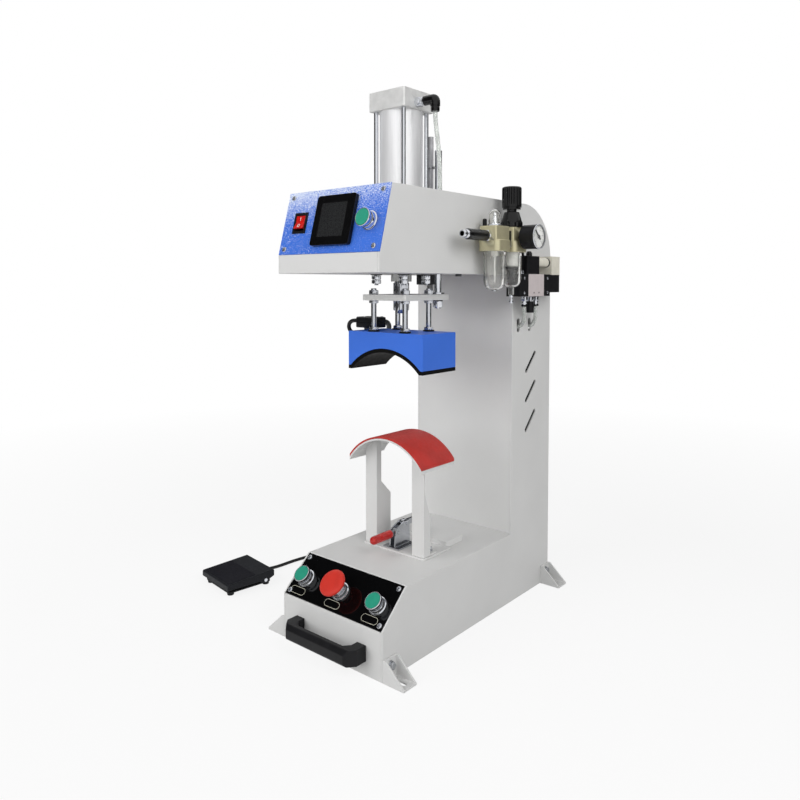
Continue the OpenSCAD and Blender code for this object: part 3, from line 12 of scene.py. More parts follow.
import bmesh
import bpy
import numpy as np
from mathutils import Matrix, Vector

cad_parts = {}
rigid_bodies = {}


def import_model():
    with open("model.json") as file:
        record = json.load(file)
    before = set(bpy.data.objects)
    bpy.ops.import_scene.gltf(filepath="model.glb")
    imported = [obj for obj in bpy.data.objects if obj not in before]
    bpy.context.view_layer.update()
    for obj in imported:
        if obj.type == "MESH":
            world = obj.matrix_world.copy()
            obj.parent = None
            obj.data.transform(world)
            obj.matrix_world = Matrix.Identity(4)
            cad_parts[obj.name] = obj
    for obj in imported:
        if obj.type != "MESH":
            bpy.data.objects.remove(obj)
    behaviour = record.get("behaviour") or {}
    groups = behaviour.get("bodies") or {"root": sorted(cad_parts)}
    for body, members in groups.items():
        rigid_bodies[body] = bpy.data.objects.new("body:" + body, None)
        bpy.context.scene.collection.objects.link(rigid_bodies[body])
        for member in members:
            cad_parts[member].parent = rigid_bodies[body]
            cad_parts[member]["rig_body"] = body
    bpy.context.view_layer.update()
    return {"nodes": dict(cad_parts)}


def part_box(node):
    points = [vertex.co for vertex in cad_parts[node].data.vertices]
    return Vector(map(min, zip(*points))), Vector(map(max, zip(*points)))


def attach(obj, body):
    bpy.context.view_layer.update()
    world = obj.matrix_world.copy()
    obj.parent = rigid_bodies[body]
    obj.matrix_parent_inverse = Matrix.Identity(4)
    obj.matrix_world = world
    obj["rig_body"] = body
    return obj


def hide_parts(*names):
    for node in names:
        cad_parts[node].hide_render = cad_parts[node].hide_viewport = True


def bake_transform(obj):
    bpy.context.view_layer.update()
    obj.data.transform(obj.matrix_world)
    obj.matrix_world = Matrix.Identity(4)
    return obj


bl_info = {
    "name": "Cap heat press",
    "version": (1, 0, 0),
    "blender": (4, 5, 0),
    "location": "View3D > Sidebar > Cap press",
    "description": "Builds the finished surfaces of a pneumatic cap heat press",
    "category": "Object",
}

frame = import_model()

MM = 0.001

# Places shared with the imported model, in millimetres
AXIS_Y = -72.0
FRONT_Y = -238.0
REAR_Y = 238.0
ARM_Z = 579.0
ARM_TOP = 705.0
TUBE_Z = 613.0
TOP_Z = 841.0
TIE_ROD = 29.0
PLATE_Z = 536.4
PLATE_TOP = 546.0
PLATEN_TOP = 485.0
STUD_X = 33.5
STUD_Y = 30.5
GUIDE_AT = (34.0, -17.0, 0.0)
STOP_AT = (12.0, -10.0, 0.0)
PLUG_AT = (-67.0, -73.0, 0.0)
FORM_CZ = 218.0
FORM_HALF = 77.0
START_X = 76.0
START_UP = 31.76
HEAD_BUTTON = (78.0, 46.0)
TOP_PORT = (0.0, -78.0, 851.0)
LOW_PORT = (0.0, -66.0, 598.0)
UNIT_X = 135.5
LUB_Y = -2.0
REG_Y = 49.0
UNIT_Z = 615.0
UNIT_TOP = 655.0
LUB_UNDER = (UNIT_X, LUB_Y, UNIT_Z)
LUB_OVER = (UNIT_X, LUB_Y, UNIT_TOP)
REG_UNDER = (UNIT_X, REG_Y, UNIT_Z)
GAUGE_Z = 639.0
KNOB_Z = 685.0
BRIDGE_X = 132.5
BRIDGE_Y = 82.0
VALVE_X = 113.0
VALVE_MID_X = 126.5
VALVE_Y = 98.0
VALVE_Z = 542.0
PORTS_Y = (107.0, 145.0)
SILENCER_AT = (VALVE_MID_X, 126.0, 0.0)
INLET_AT = (-52.0, 241.0, 72.0)
PEDAL = (-331.0, -156.0, math.radians(-8))
DIAL_START = 225
DIAL_SWEEP = 270

# Widths of the cords and hoses
PEDAL_CORD = 6.0
SUPPLY_LEAD = 9.0
LOOP_LEAD = 7.0
AIR_HOSE = 7.0

# Directions and places in pairs
RIGHT = (1, 0, 0)
BACK = (0, 1, 0)
FRONT = (0, -1, 0)
SIDES = (-1, 1)
CORNERS = tuple((i, j) for i in SIDES for j in SIDES)

# The photograph's camera: metres, degrees, millimetres and share of the width
CAMERA_AT = (0.7641, -0.9802, 0.5644)
CAMERA_TILT = 90 - 2.57
CAMERA_TURN = 40.18
CAMERA_LENS = 32.43
CAMERA_SHIFT = -0.1056

# Points of the pedal cord from the pedal to the coil
CORD_ROUTE = [[-324.2, -108, 9], [-322.9, -97, 8.9], [-323.2, -85, 7.6],
    [-324.6, -70, 5.4], [-326, -52, 3.8], [-325.6, -22, 3.2], [-321, 6, 3.2],
    [-313, 31, 3.2], [-302, 56, 3.2], [-288, 80, 3.2], [-272, 103, 3.2],
    [-255, 126, 3.2], [-239, 150, 3.2], [-225, 175, 3.2], [-213, 201, 3.2],
    [-200, 226, 3.2], [-183, 248, 3.2], [-161, 265, 3.2], [-136, 275, 3.2],
    [-108, 279.5, 3.2], [-78, 280.6, 3.2], [-46, 280.6, 3.2]]
# Points of the pedal cord from the coil to the gland
REAR_ROUTE = [[-34, 280.6, 9.7], [-26, 280.6, 9.7], [-6, 280.8, 8.6],
    [10, 280.4, 9], [22, 277.4, 11], [31.4, 271, 14.8],
    [38, 263, 20], [41, 255, 24], [41, 250, 24]]
# Points of the lead from the heater plug round to the platen
LOOP_ROUTE = [[-88, -74, 498], [-100, -73.4, 499.6], [-112, -72, 498.6],
    [-120.6, -70, 494], [-123.6, -68.4, 487], [-120.6, -67, 480],
    [-112, -66, 475.4], [-100, -65.2, 473.6], [-90, -65, 473.4],
    [-77, -65, 473.4]]
# Points of the supply lead from the heater plug to the column
SUPPLY_ROUTE = [[-66, -56, 498], [-66, -47, 498], [-66.8, -38, 497.4],
    [-69, -28.8, 495.2], [-73, -20.2, 491], [-78.6, -12.6, 485],
    [-85.4, -6, 477], [-92, 2, 467.4], [-97.4, 12, 457.9],
    [-98.8, 25.6, 450.2], [-95, 40, 444.6], [-87.6, 54.4, 441.2],
    [-78.6, 67.6, 440], [-71, 79.6, 441.2], [-67, 90, 443],
    [-66, 100, 444], [-66, 110, 444]]
# Points of the hose from the cylinder's top cap down to the valve
UPPER_ROUTE = [[74, -78, 831.5], [74.6, -78, 818], [77.6, -78, 796],
    [80.8, -77.6, 768], [82.2, -77, 738], [82.2, -76.6, 712],
    [82, -76, 692], [81.4, -70, 674], [81, -56, 664], [80, -30, 660],
    [80, 10, 658], [80, 60, 654], [80, 100, 646], [80, 128, 626],
    [80, 142, 596], [80, 145, 560], [80, 145, 528], [83, 140, 505],
    [88, 131, 493], [96, 125.4, 488.4], [106, 124, 488.6],
    [114, 121.4, 493], [121, 115.6, 501], [125.4, 109.6, 511],
    [126.5, 107, 518], [126.5, 107, 524]]
# Points of the hose from the cylinder's lower cap to the valve
LOWER_ROUTE = [[54, -66, 598], [62, -66, 598], [69, -61, 599],
    [72, -50, 602], [72, -25, 608], [71, 20, 618], [70, 70, 626],
    [70, 110, 626], [71, 142, 614], [73, 162, 590], [75, 172, 556],
    [77, 174, 526], [81, 170.6, 504], [88, 165.4, 492], [96, 163, 488.4],
    [106, 162.5, 488.6], [114, 159.6, 493], [121, 153.6, 501],
    [125.4, 147.6, 511], [126.5, 145, 518], [126.5, 145, 524]]


# Settings

class PressSizes(bpy.types.PropertyGroup):
    """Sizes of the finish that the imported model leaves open."""

    sheet_edge: bpy.props.FloatProperty(
        name="Sheet edge", description="Radius of a folded or cut sheet edge",
        default=0.0007, min=0.0001, max=0.002, unit="LENGTH")
    cast_edge: bpy.props.FloatProperty(
        name="Casting edge", description="Radius on the cast air unit bodies",
        default=0.0009, min=0.0002, max=0.003, unit="LENGTH")
    handle_edge: bpy.props.FloatProperty(
        name="Handle edge", description="Radius on the carry handle's edges",
        default=0.0012, min=0.0002, max=0.003, unit="LENGTH")
    pedal_edge: bpy.props.FloatProperty(
        name="Pedal edge", description="Radius on the treadle's edges",
        default=0.0010, min=0.0002, max=0.003, unit="LENGTH")
    bowl_wall: bpy.props.FloatProperty(
        name="Bowl wall", description="Wall of the clear bowls",
        default=0.0020, min=0.001, max=0.003, unit="LENGTH")
    knob_ribs: bpy.props.IntProperty(
        name="Knob ribs", description="Grip ribs round the regulator knob",
        default=24, min=12, max=36)
    thread_pitch: bpy.props.FloatProperty(
        name="Thread pitch", description="Pitch of the visible threads",
        default=0.00125, min=0.0008, max=0.002, unit="LENGTH")
    dial_marks: bpy.props.IntProperty(
        name="Dial marks", description="Long marks on the gauge dial",
        default=11, min=5, max=21)


def colour_property(name, description, default):
    """One colour as it is seen on the object, in display values."""
    return bpy.props.FloatVectorProperty(
        name=name, description=description, default=[c / 255 for c in default],
        min=0.0, max=1.0, size=3, subtype="COLOR_GAMMA")


class PressColours(bpy.types.PropertyGroup):
    """Colours of the finishes, as display values."""

    paint: colour_property("Body paint", "Pale powder coat", (217, 217, 216))
    blue: colour_property("Blue paint", "Platen and head panel", (60, 113, 218))
    green: colour_property("Green", "Start button caps", (38, 148, 122))
    red: colour_property("Stop red", "Emergency stop head", (204, 50, 38))
    grip: colour_property("Grip red", "Dipped grip", (178, 18, 14))
    key: colour_property("Key red", "Rocker key", (205, 22, 18))
    cast: colour_property("Casting", "Air unit bodies", (206, 199, 164))
    black: colour_property("Black", "Moulded black plastic", (24, 24, 26))
    pad: colour_property("Pad", "Silicone pad", (186, 42, 34))
    pale: colour_property("Pale plastic", "Cream and white parts", (226, 222, 208))


def linear(colour, factor=1.0):
    """Display values to scene linear, with alpha 1."""
    c = np.clip(np.array(colour[:3], float) * factor, 0, 1)
    out = np.where(c <= 0.04045, c / 12.92, ((c + 0.055) / 1.055) ** 2.4)
    return (*[float(v) for v in out], 1.0)


# Surface maths

def grid_faces(nu, nv, wrap_u=False, wrap_v=False):
    """Four-sided faces of a grid of nu by nv points, row after row."""
    i = np.arange(nu if wrap_u else nu - 1)[:, None]
    j = np.arange(nv if wrap_v else nv - 1)[None, :]
    i1, j1 = (i + 1) % nu, (j + 1) % nv
    return np.stack([i * nv + j, i1 * nv + j, i1 * nv + j1, i * nv + j1],
                    -1).reshape(-1, 4)


def unit(v):
    """Vectors of length one along the last axis."""
    v = np.asarray(v, float)
    return v / np.maximum(np.linalg.norm(v, axis=-1, keepdims=True), 1e-12)


def rounded(points, radius, steps=4, closed=False):
    """Polyline with its corners rounded. Each corner P becomes the curve
    (1-t)^2 A + 2t(1-t) P + t^2 B, where A and B lie one radius, or 45 per
    cent of the shorter leg, away from P along its two legs."""
    p = np.asarray(points, float)
    before, after = np.roll(p, 1, 0), np.roll(p, -1, 0)
    la = np.linalg.norm(p - before, axis=1)
    lb = np.linalg.norm(after - p, axis=1)
    d = np.minimum(np.asarray(radius, float), 0.45 * np.minimum(la, lb))[:, None]
    a = p + d * unit(before - p)
    b = p + d * unit(after - p)
    t = np.linspace(0, 1, steps + 1)[None, :, None]
    arc = ((1 - t) ** 2 * a[:, None] + 2 * t * (1 - t) * p[:, None]
           + t ** 2 * b[:, None])
    if closed:
        return arc.reshape(-1, p.shape[1])
    return np.concatenate([p[:1], arc[1:-1].reshape(-1, p.shape[1]), p[-1:]])


def lathe(profile, radius=0.0, around=64, closed=False, ripple=None, steps=4):
    """Surface of revolution: the point (r, h) of the profile at angle a is
    (r cos a, r sin a, h). ripple(a, r, h) may change r round the axis."""
    p = rounded(profile, radius, steps, closed) if np.any(radius) else (
        np.asarray(profile, float))
    a = np.linspace(0, 2 * np.pi, around, endpoint=False)[None, :]
    r, h = p[:, :1] + 0 * a, p[:, 1:] + 0 * a
    if ripple is not None:
        r = ripple(a, r, h)
    grid = np.stack([r * np.cos(a), r * np.sin(a), h], -1)
    return grid.reshape(-1, 3), grid_faces(len(p), around, closed, True), []


def ring(inner, outer, low, high):
    """Profile of a plain ring, or of a disc or rod where inner is 0."""
    return [(inner, low), (outer, low), (outer, high), (inner, high)]


def hexagon(flats, levels, around=72):
    """Six-sided prism with chamfered corners. At level (h, limit) the radius
    at angle a is the smaller of limit and (flats / 2) / cos(a'), where a' is
    the angle from the nearest flat's middle."""
    a = np.linspace(0, 2 * np.pi, around, endpoint=False)[None, :]
    off = np.mod(a, np.pi / 3) - np.pi / 6
    flat = flats / 2 / np.cos(off)
    rows = np.array(levels, float)
    r = np.minimum(flat, rows[:, 1:])
    r = np.concatenate([0 * a, r, 0 * a])
    h = np.concatenate([rows[:1, :1], rows[:, :1], rows[-1:, :1]]) + 0 * a
    grid = np.stack([r * np.cos(a), r * np.sin(a), h], -1)
    return grid.reshape(-1, 3), grid_faces(len(rows) + 2, around, False, True), []


def nut(flats, height, low=0.0):
    """Chamfered nut or bolt head from low up over height."""
    big, small = flats * 0.6, flats * 0.5
    c = (flats / 2 / math.cos(math.pi / 6) - small) * 0.6
    return hexagon(flats, [(low, small), (low + c, big),
                           (low + height - c, big), (low + height, small)])


def threaded(r, low, high, pitch, depth=0.5, around=24):
    """Threaded rod: radius r less twice the depth times the distance of the
    phase h / pitch - a / 2 pi from the nearest whole number, so the groove
    is a helix."""
    rows = int((high - low) / pitch * 4) + 1
    h = np.linspace(low, high, rows)[:, None]
    a = np.linspace(0, 2 * np.pi, around, endpoint=False)[None, :]
    phase = h / pitch - a / (2 * np.pi)
    rr = r - 2 * depth * np.abs(phase - np.round(phase))
    grid = np.stack([rr * np.cos(a), rr * np.sin(a), h + 0 * a], -1)
    ends = [list(range(around)), list(range((rows - 1) * around, rows * around))]
    return grid.reshape(-1, 3), grid_faces(rows, around, False, True), ends


def corner_outline(width, length, corner, steps=6):
    """Rounded rectangle round the origin: four corner centres, each with a
    quarter circle of the corner radius."""
    a = (np.arange(4)[:, None] * np.pi / 2
         + np.linspace(0, np.pi / 2, steps + 1)[None, :])
    sx = np.array([1, -1, -1, 1])[:, None]
    sy = np.array([1, 1, -1, -1])[:, None]
    c = max(corner, 1e-3)
    x = sx * (width / 2 - c) + c * np.cos(a)
    y = sy * (length / 2 - c) + c * np.sin(a)
    return np.stack([x, y], -1).reshape(-1, 2)


def slab(width, length, corner, levels):
    """Block with a rounded rectangular outline. Each level (inset, h) is the
    outline drawn in by inset at height h. The two ends are closed."""
    rows = []
    for inset, h in levels:
        outline = corner_outline(width - 2 * inset, length - 2 * inset, corner - inset)
        rows.append(np.column_stack([outline, np.full(len(outline), h)]))
    m, n = len(rows), len(rows[0])
    ends = [list(range(n)), list(range((m - 1) * n, m * n))]
    return np.concatenate(rows), grid_faces(m, n, False, True), ends


def soft_levels(low, high, edge, steps=3):
    """Levels of a slab whose lower and upper edges are quarter rounds."""
    a = np.linspace(0, np.pi / 2, steps + 1)
    up = [(edge * (1 - math.sin(t)), low + edge * (1 - math.cos(t))) for t in a]
    down = [(edge * (1 - math.cos(t)), high - edge * (1 - math.sin(t))) for t in a]
    return up + down


def smooth_path(points, between=4):
    """Catmull-Rom curve through the points: on each leg the point at t is
    half of 2B + (C - A) t + (2A - 5B + 4C - D) t^2 + (3B - A - 3C + D) t^3."""
    p = np.asarray(points, float)
    q = np.concatenate([2 * p[:1] - p[1:2], p, 2 * p[-1:] - p[-2:-1]])
    a, b, c, d = q[:-3, None], q[1:-2, None], q[2:-1, None], q[3:, None]
    t = np.linspace(0, 1, between, endpoint=False)[None, :, None]
    s = 0.5 * (2 * b + (c - a) * t + (2 * a - 5 * b + 4 * c - d) * t ** 2
               + (3 * b - a - 3 * c + d) * t ** 3)
    return np.concatenate([s.reshape(-1, 3), p[-1:]])


def path_frames(path):
    """Two side vectors at each point of a path, carried along it so that
    they turn as little as the path lets them."""
    t = unit(np.gradient(path, axis=0))
    side = np.array([1.0, 0, 0]) if abs(t[0][2]) > 0.8 else np.array([0, 0, 1.0])
    sides = []
    for direction in t:
        side = side - (side @ direction) * direction
        side = side / np.linalg.norm(side)
        sides.append(side)
    s = np.array(sides)
    return s, np.cross(t, s)


def tube(path, radius, around):
    """Circle carried along a path: P(i) + R(i) (cos a S(i) + sin a B(i))."""
    path = np.asarray(path, float)
    s, b = path_frames(path)
    a = np.linspace(0, 2 * np.pi, around, endpoint=False)[None, :, None]
    r = np.broadcast_to(np.asarray(radius, float), (len(path),))[:, None, None]
    grid = path[:, None] + r * (np.cos(a) * s[:, None] + np.sin(a) * b[:, None])
    n = len(path)
    ends = [list(range(around)), list(range((n - 1) * around, n * around))]
    return grid.reshape(-1, 3), grid_faces(n, around, False, True), ends


def hollow_tube(path, outer, inner, around=16):
    """Tube with a wall: circles of the outer radius carried out along the
    path, then circles of the inner radius carried back."""
    path = np.asarray(path, float)
    s, b = path_frames(path)
    a = np.linspace(0, 2 * np.pi, around, endpoint=False)[None, :, None]
    circle = np.cos(a) * s[:, None] + np.sin(a) * b[:, None]
    grid = np.concatenate([path[:, None] + outer * circle,
                           (path[:, None] + inner * circle)[::-1]])
    return grid.reshape(-1, 3), grid_faces(2 * len(path), around, True, True), []


def band(outline, width, low, high):
    """Flat strip along a closed outline in the plane, from low to high. Its
    inner edge is the outline moved by the width along its normal."""
    o = np.asarray(outline, float)
    t = unit(np.roll(o, -1, 0) - np.roll(o, 1, 0))
    inner = o + width * np.column_stack([-t[:, 1], t[:, 0]])
    strip = np.stack([np.column_stack([q, np.full(len(q), h)]) for q, h in
                      ((o, low), (o, high), (inner, high), (inner, low))], 1)
    return strip.reshape(-1, 3), grid_faces(len(o), 4, True, True), []


def arc_band(radius, width, start, end, low, high, steps):
    """Part of a flat ring: (r cos a, r sin a, h) between two angles, with r
    from radius less width to radius and h from low to high, closed at its
    ends."""
    a = np.linspace(start, end, steps)
    strip = np.stack([np.column_stack([r * np.cos(a), r * np.sin(a),
                                       np.full(steps, h)]) for r, h in
                      ((radius, low), (radius, high),
                       (radius - width, high), (radius - width, low))], 1)
    n = steps * 4
    return (strip.reshape(-1, 3), grid_faces(steps, 4, False, True),
            [[0, 1, 2, 3], [n - 4, n - 3, n - 2, n - 1]])


def pan_head(radius=4.0, height=2.3, across=0.55):
    """Pan head with a cross recess. At radius r the height is
    height (1 - 0.45 (r / R)^4), less a cross-shaped pit where one of the two
    distances from the cross's arms is small."""
    n = 64
    r = np.concatenate([np.linspace(0.05, radius, 20), [radius, radius]])[:, None]
    a = np.linspace(0, 2 * np.pi, n, endpoint=False)[None, :]
    x, y = r * np.cos(a), r * np.sin(a)
    z = height * (1 - 0.45 * (r / radius) ** 4) + 0 * a
    arm = np.minimum(np.abs(x), np.abs(y))
    pit = (np.clip((across - arm) / 0.25, 0, 1)
           * np.clip((2.5 - r) / 0.5, 0, 1))
    z = z - 1.3 * pit
    z[-2:, :] = np.array([[0.4], [0.0]])
    grid = np.stack([x, y, z], -1)
    last = (len(r) - 1) * n
    return (grid.reshape(-1, 3), grid_faces(len(r), n, False, True),
            [list(range(n)), list(range(last, last + n))])


def aimed(part, origin, direction=(0, 0, 1), side=None):
    """Turns a part drawn round z so that z runs along direction, and moves
    its origin to the given point."""
    points, quads, ends = part
    d = unit(direction)
    a = np.array(side if side is not None
                 else ((1, 0, 0) if abs(d[0]) < 0.9 else (0, 1, 0)), float)
    s = unit(a - (a @ d) * d)
    t = np.cross(d, s)
    m = np.stack([s, t, d])
    return np.asarray(origin, float) + points @ m, quads, ends


class Face:
    """A sloping face: x across, s up the face, h out of it."""

    def __init__(self, y, z, rise, depth):
        length = math.hypot(rise, depth)
        self.y, self.z, self.length = y, z, length
        self.c, self.s = depth / length, rise / length
        self.out = (0.0, -self.s, self.c)

    def at(self, x, s, h=0.0):
        """Point in the frame of the object."""
        return np.array([x, self.y + s * self.c - h * self.s,
                         self.z + s * self.s + h * self.c])

    def lay(self, part, x=0.0, s=0.0, h=0.0):
        """A part drawn across, up and out, laid on the face."""
        return aimed(part, self.at(x, s, h), self.out, (1, 0, 0))


SLOPE = Face(FRONT_Y, 73.0, 49.0, 53.0)
HEAD = Face(-244.0, 607.5, 97.5, 26.0)


def on_pedal(part):
    """Turns and moves a part drawn round the pedal's middle."""
    points, quads, ends = part
    x, y, a = PEDAL
    c, s = math.cos(a), math.sin(a)
    q = points.copy()
    q[:, 0] = x + c * points[:, 0] - s * points[:, 1]
    q[:, 1] = y + s * points[:, 0] + c * points[:, 1]
    return q, quads, ends


# Mesh making

def finish_mesh(obj, sharp=35.0):
    """Merges doubles, turns faces outwards and marks the sharp edges."""
    bm = bmesh.new()
    bm.from_mesh(obj.data)
    bmesh.ops.remove_doubles(bm, verts=bm.verts, dist=1e-6)
    bmesh.ops.dissolve_degenerate(bm, edges=bm.edges, dist=1e-7)
    bmesh.ops.recalc_face_normals(bm, faces=bm.faces)
    bm.to_mesh(obj.data)
    bm.free()
    obj.data.shade_smooth()
    obj.data.set_sharp_from_angle(angle=math.radians(sharp))


def make_piece(name, parts, body, look, nodes=(), sharp=35.0):
    """One mesh from several parts, riding on a body, in metres. Look names its finish, and
    nodes what it stands for."""
    points, faces, at = [], [], 0
    for p, quads, ends in parts:
        points.append(np.asarray(p, float) * MM)
        faces.extend((np.asarray(quads) + at).tolist())
        faces.extend([[i + at for i in end] for end in ends])
        at += len(p)
    mesh = bpy.data.meshes.new(name)
    mesh.from_pydata(np.concatenate(points).tolist(), [], faces)
    obj = bpy.data.objects.new(name, mesh)
    bpy.context.scene.collection.objects.link(obj)
    finish_mesh(obj, sharp)
    mesh.materials.append(finish(look))
    if body:
        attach(obj, body)
    if nodes:
        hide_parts(*nodes)
    return obj


def weigh_edges(bm, angle):
    """Marks for rounding the edges sharper than angle, apart from those that
    end at a cusp, where two of them leave one corner almost side by side."""
    weight = bm.edges.layers.float.new("bevel_weight_edge")
    sharp = {e for e in bm.edges
             if len(e.link_faces) == 2 and e.calc_face_angle() > angle}
    cusps = set()
    for v in bm.verts:
        ways = [(e.other_vert(v).co - v.co).normalized()
                for e in v.link_edges if e in sharp]
        close = any(ways[i].dot(ways[j]) > 0.82
                    for i in range(len(ways)) for j in range(i))
        if close or len(ways) == 1:
            cusps.add(v)
    for e in sharp:
        e[weight] = float(not cusps.intersection(e.verts))


def softened(node, edge, look, suffix, segments=2, pick=None, others=(),
             angle=32.0, cuts=()):
    """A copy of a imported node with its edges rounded. Loose triangles are
    merged and flat ones joined first, so that only real edges are rounded.
    pick(centres) may give the material number of each face, once the faces
    are cut along the planes (axis, place) where two materials meet."""
    source = frame["nodes"][node]
    obj = bpy.data.objects.new(f"{node}_{suffix}", source.data.copy())
    bpy.context.scene.collection.objects.link(obj)
    bm = bmesh.new()
    bm.from_mesh(obj.data)
    bmesh.ops.remove_doubles(bm, verts=bm.verts, dist=2e-6)
    for axis, place in cuts:
        normal = np.eye(3)[axis]
        bmesh.ops.bisect_plane(bm, geom=[*bm.verts, *bm.edges, *bm.faces],
                               plane_co=normal * place * MM, plane_no=normal)
    centres = np.array([f.calc_center_median() for f in bm.faces]) / MM
    index = pick(centres) if pick else np.zeros(len(centres), int)
    for face, number in zip(bm.faces, index):
        face.material_index = int(number)
    bmesh.ops.dissolve_limit(bm, angle_limit=math.radians(0.7),
                             verts=bm.verts, edges=bm.edges,
                             delimit={"MATERIAL"})
    weigh_edges(bm, math.radians(angle))
    obj.data.materials.clear()
    for name in (look, *others):
        obj.data.materials.append(finish(name))
    bm.to_mesh(obj.data)
    bm.free()
    obj.data.shade_smooth()
    obj.data.set_sharp_from_angle(angle=math.radians(angle))
    if edge > 0:
        bevel = obj.modifiers.new("Rounded edges", "BEVEL")
        bevel.width = edge
        bevel.segments = segments
        bevel.limit_method = "WEIGHT"
        bevel.use_clamp_overlap = False
        bevel.loop_slide = False
        bevel.harden_normals = True
    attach(obj, source["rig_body"])
    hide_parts(node)
    return obj


def refinish(node, look):
    """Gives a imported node, whose shape stays, a finished material."""
    obj = frame["nodes"][node]
    if not obj.material_slots:
        obj.data.materials.append(finish(look))
    for place in obj.material_slots:
        place.material = finish(look)


# Materials

def add_node(tree, kind, feeds=None, choices=None, **values):
    """A shader node of the kind. Choices are its own settings, feeds are the
    outputs that its inputs take, and values are constants of other inputs,
    written with _ for a space."""
    node = tree.nodes.new("ShaderNode" + kind)
    for key, choice in (choices or {}).items():
        setattr(node, key, choice)
    for key, value in values.items():
        node.inputs[key.replace("_", " ")].default_value = value
    for key, source in (feeds or {}).items():
        tree.links.new(source, node.inputs[key])
    return node


def ramp(tree, value, low, high, out_low, out_high):
    """Carries a value from one range to another, held at its ends."""
    return add_node(tree, "MapRange", {"Value": value}, From_Min=low, From_Max=high,
                    To_Min=out_low, To_Max=out_high).outputs["Result"]


def joined(tree, first, second, operation="ADD"):
    """Two values added, or joined by another operation."""
    return add_node(tree, "Math", {0: first, 1: second},
                    {"operation": operation}).outputs["Value"]


def seen_rays(tree):
    """1 for what the camera, gloss and glass see, and 0 for other light."""
    rays = add_node(tree, "LightPath").outputs
    value = rays["Is Camera Ray"]
    for kind in ("Is Glossy Ray", "Is Transmission Ray"):
        value = joined(tree, value, rays[kind], "MAXIMUM")
    return value


class Finish:
    """A procedural finish round one principled shader."""

    made = {}
    drift = (0.3, 0.7)

    def __init__(self, name):
        self.material = bpy.data.materials.new(name)
        self.material.use_nodes = True
        self.tree = self.material.node_tree
        self.shader, self.out = (
            next(n for n in self.tree.nodes if n.type == kind)
            for kind in ("BSDF_PRINCIPLED", "OUTPUT_MATERIAL"))
        self.place = add_node(self.tree, "TexCoord").outputs["Object"]
        self.normal = None

    def put(self, **values):
        """Sets constant sockets, written with _ for a space."""
        for key, value in values.items():
            self.shader.inputs[key.replace("_", " ")].default_value = value
        return self

    def feed(self, socket, source):
        """Lets a socket of the shader take a pattern."""
        self.tree.links.new(source, self.shader.inputs[socket])
        return self

    def stretch(self, x, y, z):
        """Object coordinates scaled along each axis."""
        return add_node(self.tree, "Mapping", {"Vector": self.place},
                        Scale=(x, y, z)).outputs["Vector"]

    def noise(self, scale, detail=2.0, rough=0.5, vector=None):
        """Noise on the object's own coordinates."""
        return add_node(self.tree, "TexNoise", {"Vector": vector or self.place},
                        Scale=scale, Detail=detail, Roughness=rough).outputs["Fac"]

    def cells(self, scale, **smooth):
        """Distance to the nearest of scattered points, which a Smoothness
        blends into round dimples."""
        return add_node(self.tree, "TexVoronoi", {"Vector": self.place},
                        {"feature": "SMOOTH_F1"} if smooth else None,
                        Scale=scale, **smooth).outputs["Distance"]

    def waves(self, period, direction):
        """Parallel ridges, one every period in metres."""
        return add_node(self.tree, "TexWave", {"Vector": self.place},
                        {"bands_direction": direction},
                        Scale=math.pi / (10 * period)).outputs["Fac"]

    def along(self, low, high, out_low, out_high, axis="Z"):
        """Value that changes with the place in metres along an axis."""
        split = add_node(self.tree, "SeparateXYZ", {"Vector": self.place})
        return ramp(self.tree, split.outputs[axis], low, high, out_low, out_high)

    def facing(self, sharpness):
        """0 where a surface faces the eye and 1 at its outline."""
        return add_node(self.tree, "LayerWeight", Blend=sharpness).outputs["Facing"]

    def blend(self, first, second, value, low, high):
        """Base colour between two colours as a value goes low to high."""
        share = ramp(self.tree, value, low, high, 0, 1)
        mix = add_node(self.tree, "Mix", {"Factor": share}, {"data_type": "RGBA"},
                       A=first, B=second)
        return self.feed("Base Color", mix.outputs["Result"])

    def tone(self, colour, value, spread):
        """Base colour that drifts between slightly darker and lighter."""
        return self.blend(linear(colour, 1 - spread), linear(colour, 1 + spread),
                          value, *self.drift)

    def sheen_of(self, value, smooth, coarse):
        """Roughness that drifts between two values."""
        return self.feed("Roughness", ramp(self.tree, value, *self.drift, smooth, coarse))

    def bump(self, value, depth, strength):
        """Adds relief of the given depth in metres."""
        feeds = {"Height": value}
        if self.normal:
            feeds["Normal"] = self.normal
        self.normal = add_node(self.tree, "Bump", feeds, Distance=depth,
                               Strength=strength).outputs["Normal"]
        return self.feed("Normal", self.normal)


def finish(name):
    """The named finish, made once."""
    if name not in Finish.made:
        c = bpy.context.scene.press_colours
        Finish.made[name] = FINISHES[name](Finish(name), c).material
    return Finish.made[name]


def powder_coat(f, c):
    """Fine orange peel over an even pale coat."""
    f.tone(c.paint, f.noise(9, 3), 0.012)
    f.sheen_of(f.noise(60, 2), 0.42, 0.52)
    f.bump(f.noise(1100, 2, 0.6), 0.00006, 0.55)
    return f.bump(f.noise(240, 2, 0.5), 0.00008, 0.35)


def hammered_blue(f, c):
    """Hammered coat: close round dimples with pale flecks, a painted highlight sparkle
    that grows towards the top and the left."""
    # Painted highlight: pale flecks, more of them up the panel and towards its left.
    flecks_and_highlight = joined(f.tree, f.noise(1000, 1, 0.5), f.along(0.645, 0.70, -0.14, 0.07))
    flecks_and_highlight = joined(f.tree, flecks_and_highlight, f.along(-0.105, 0.105, 0.04, -0.05, "X"))
    f.blend(linear(c.blue), linear((0.93, 0.96, 1.0)), flecks_and_highlight, 0.52, 0.60)
    f.sheen_of(f.noise(500, 2), 0.18, 0.30)
    f.put(Coat_Weight=0.4, Coat_Roughness=0.06)
    f.bump(f.cells(420, Smoothness=0.6), 0.00045, 0.75)
    return f.bump(f.noise(900, 3, 0.6), 0.00012, 0.5)


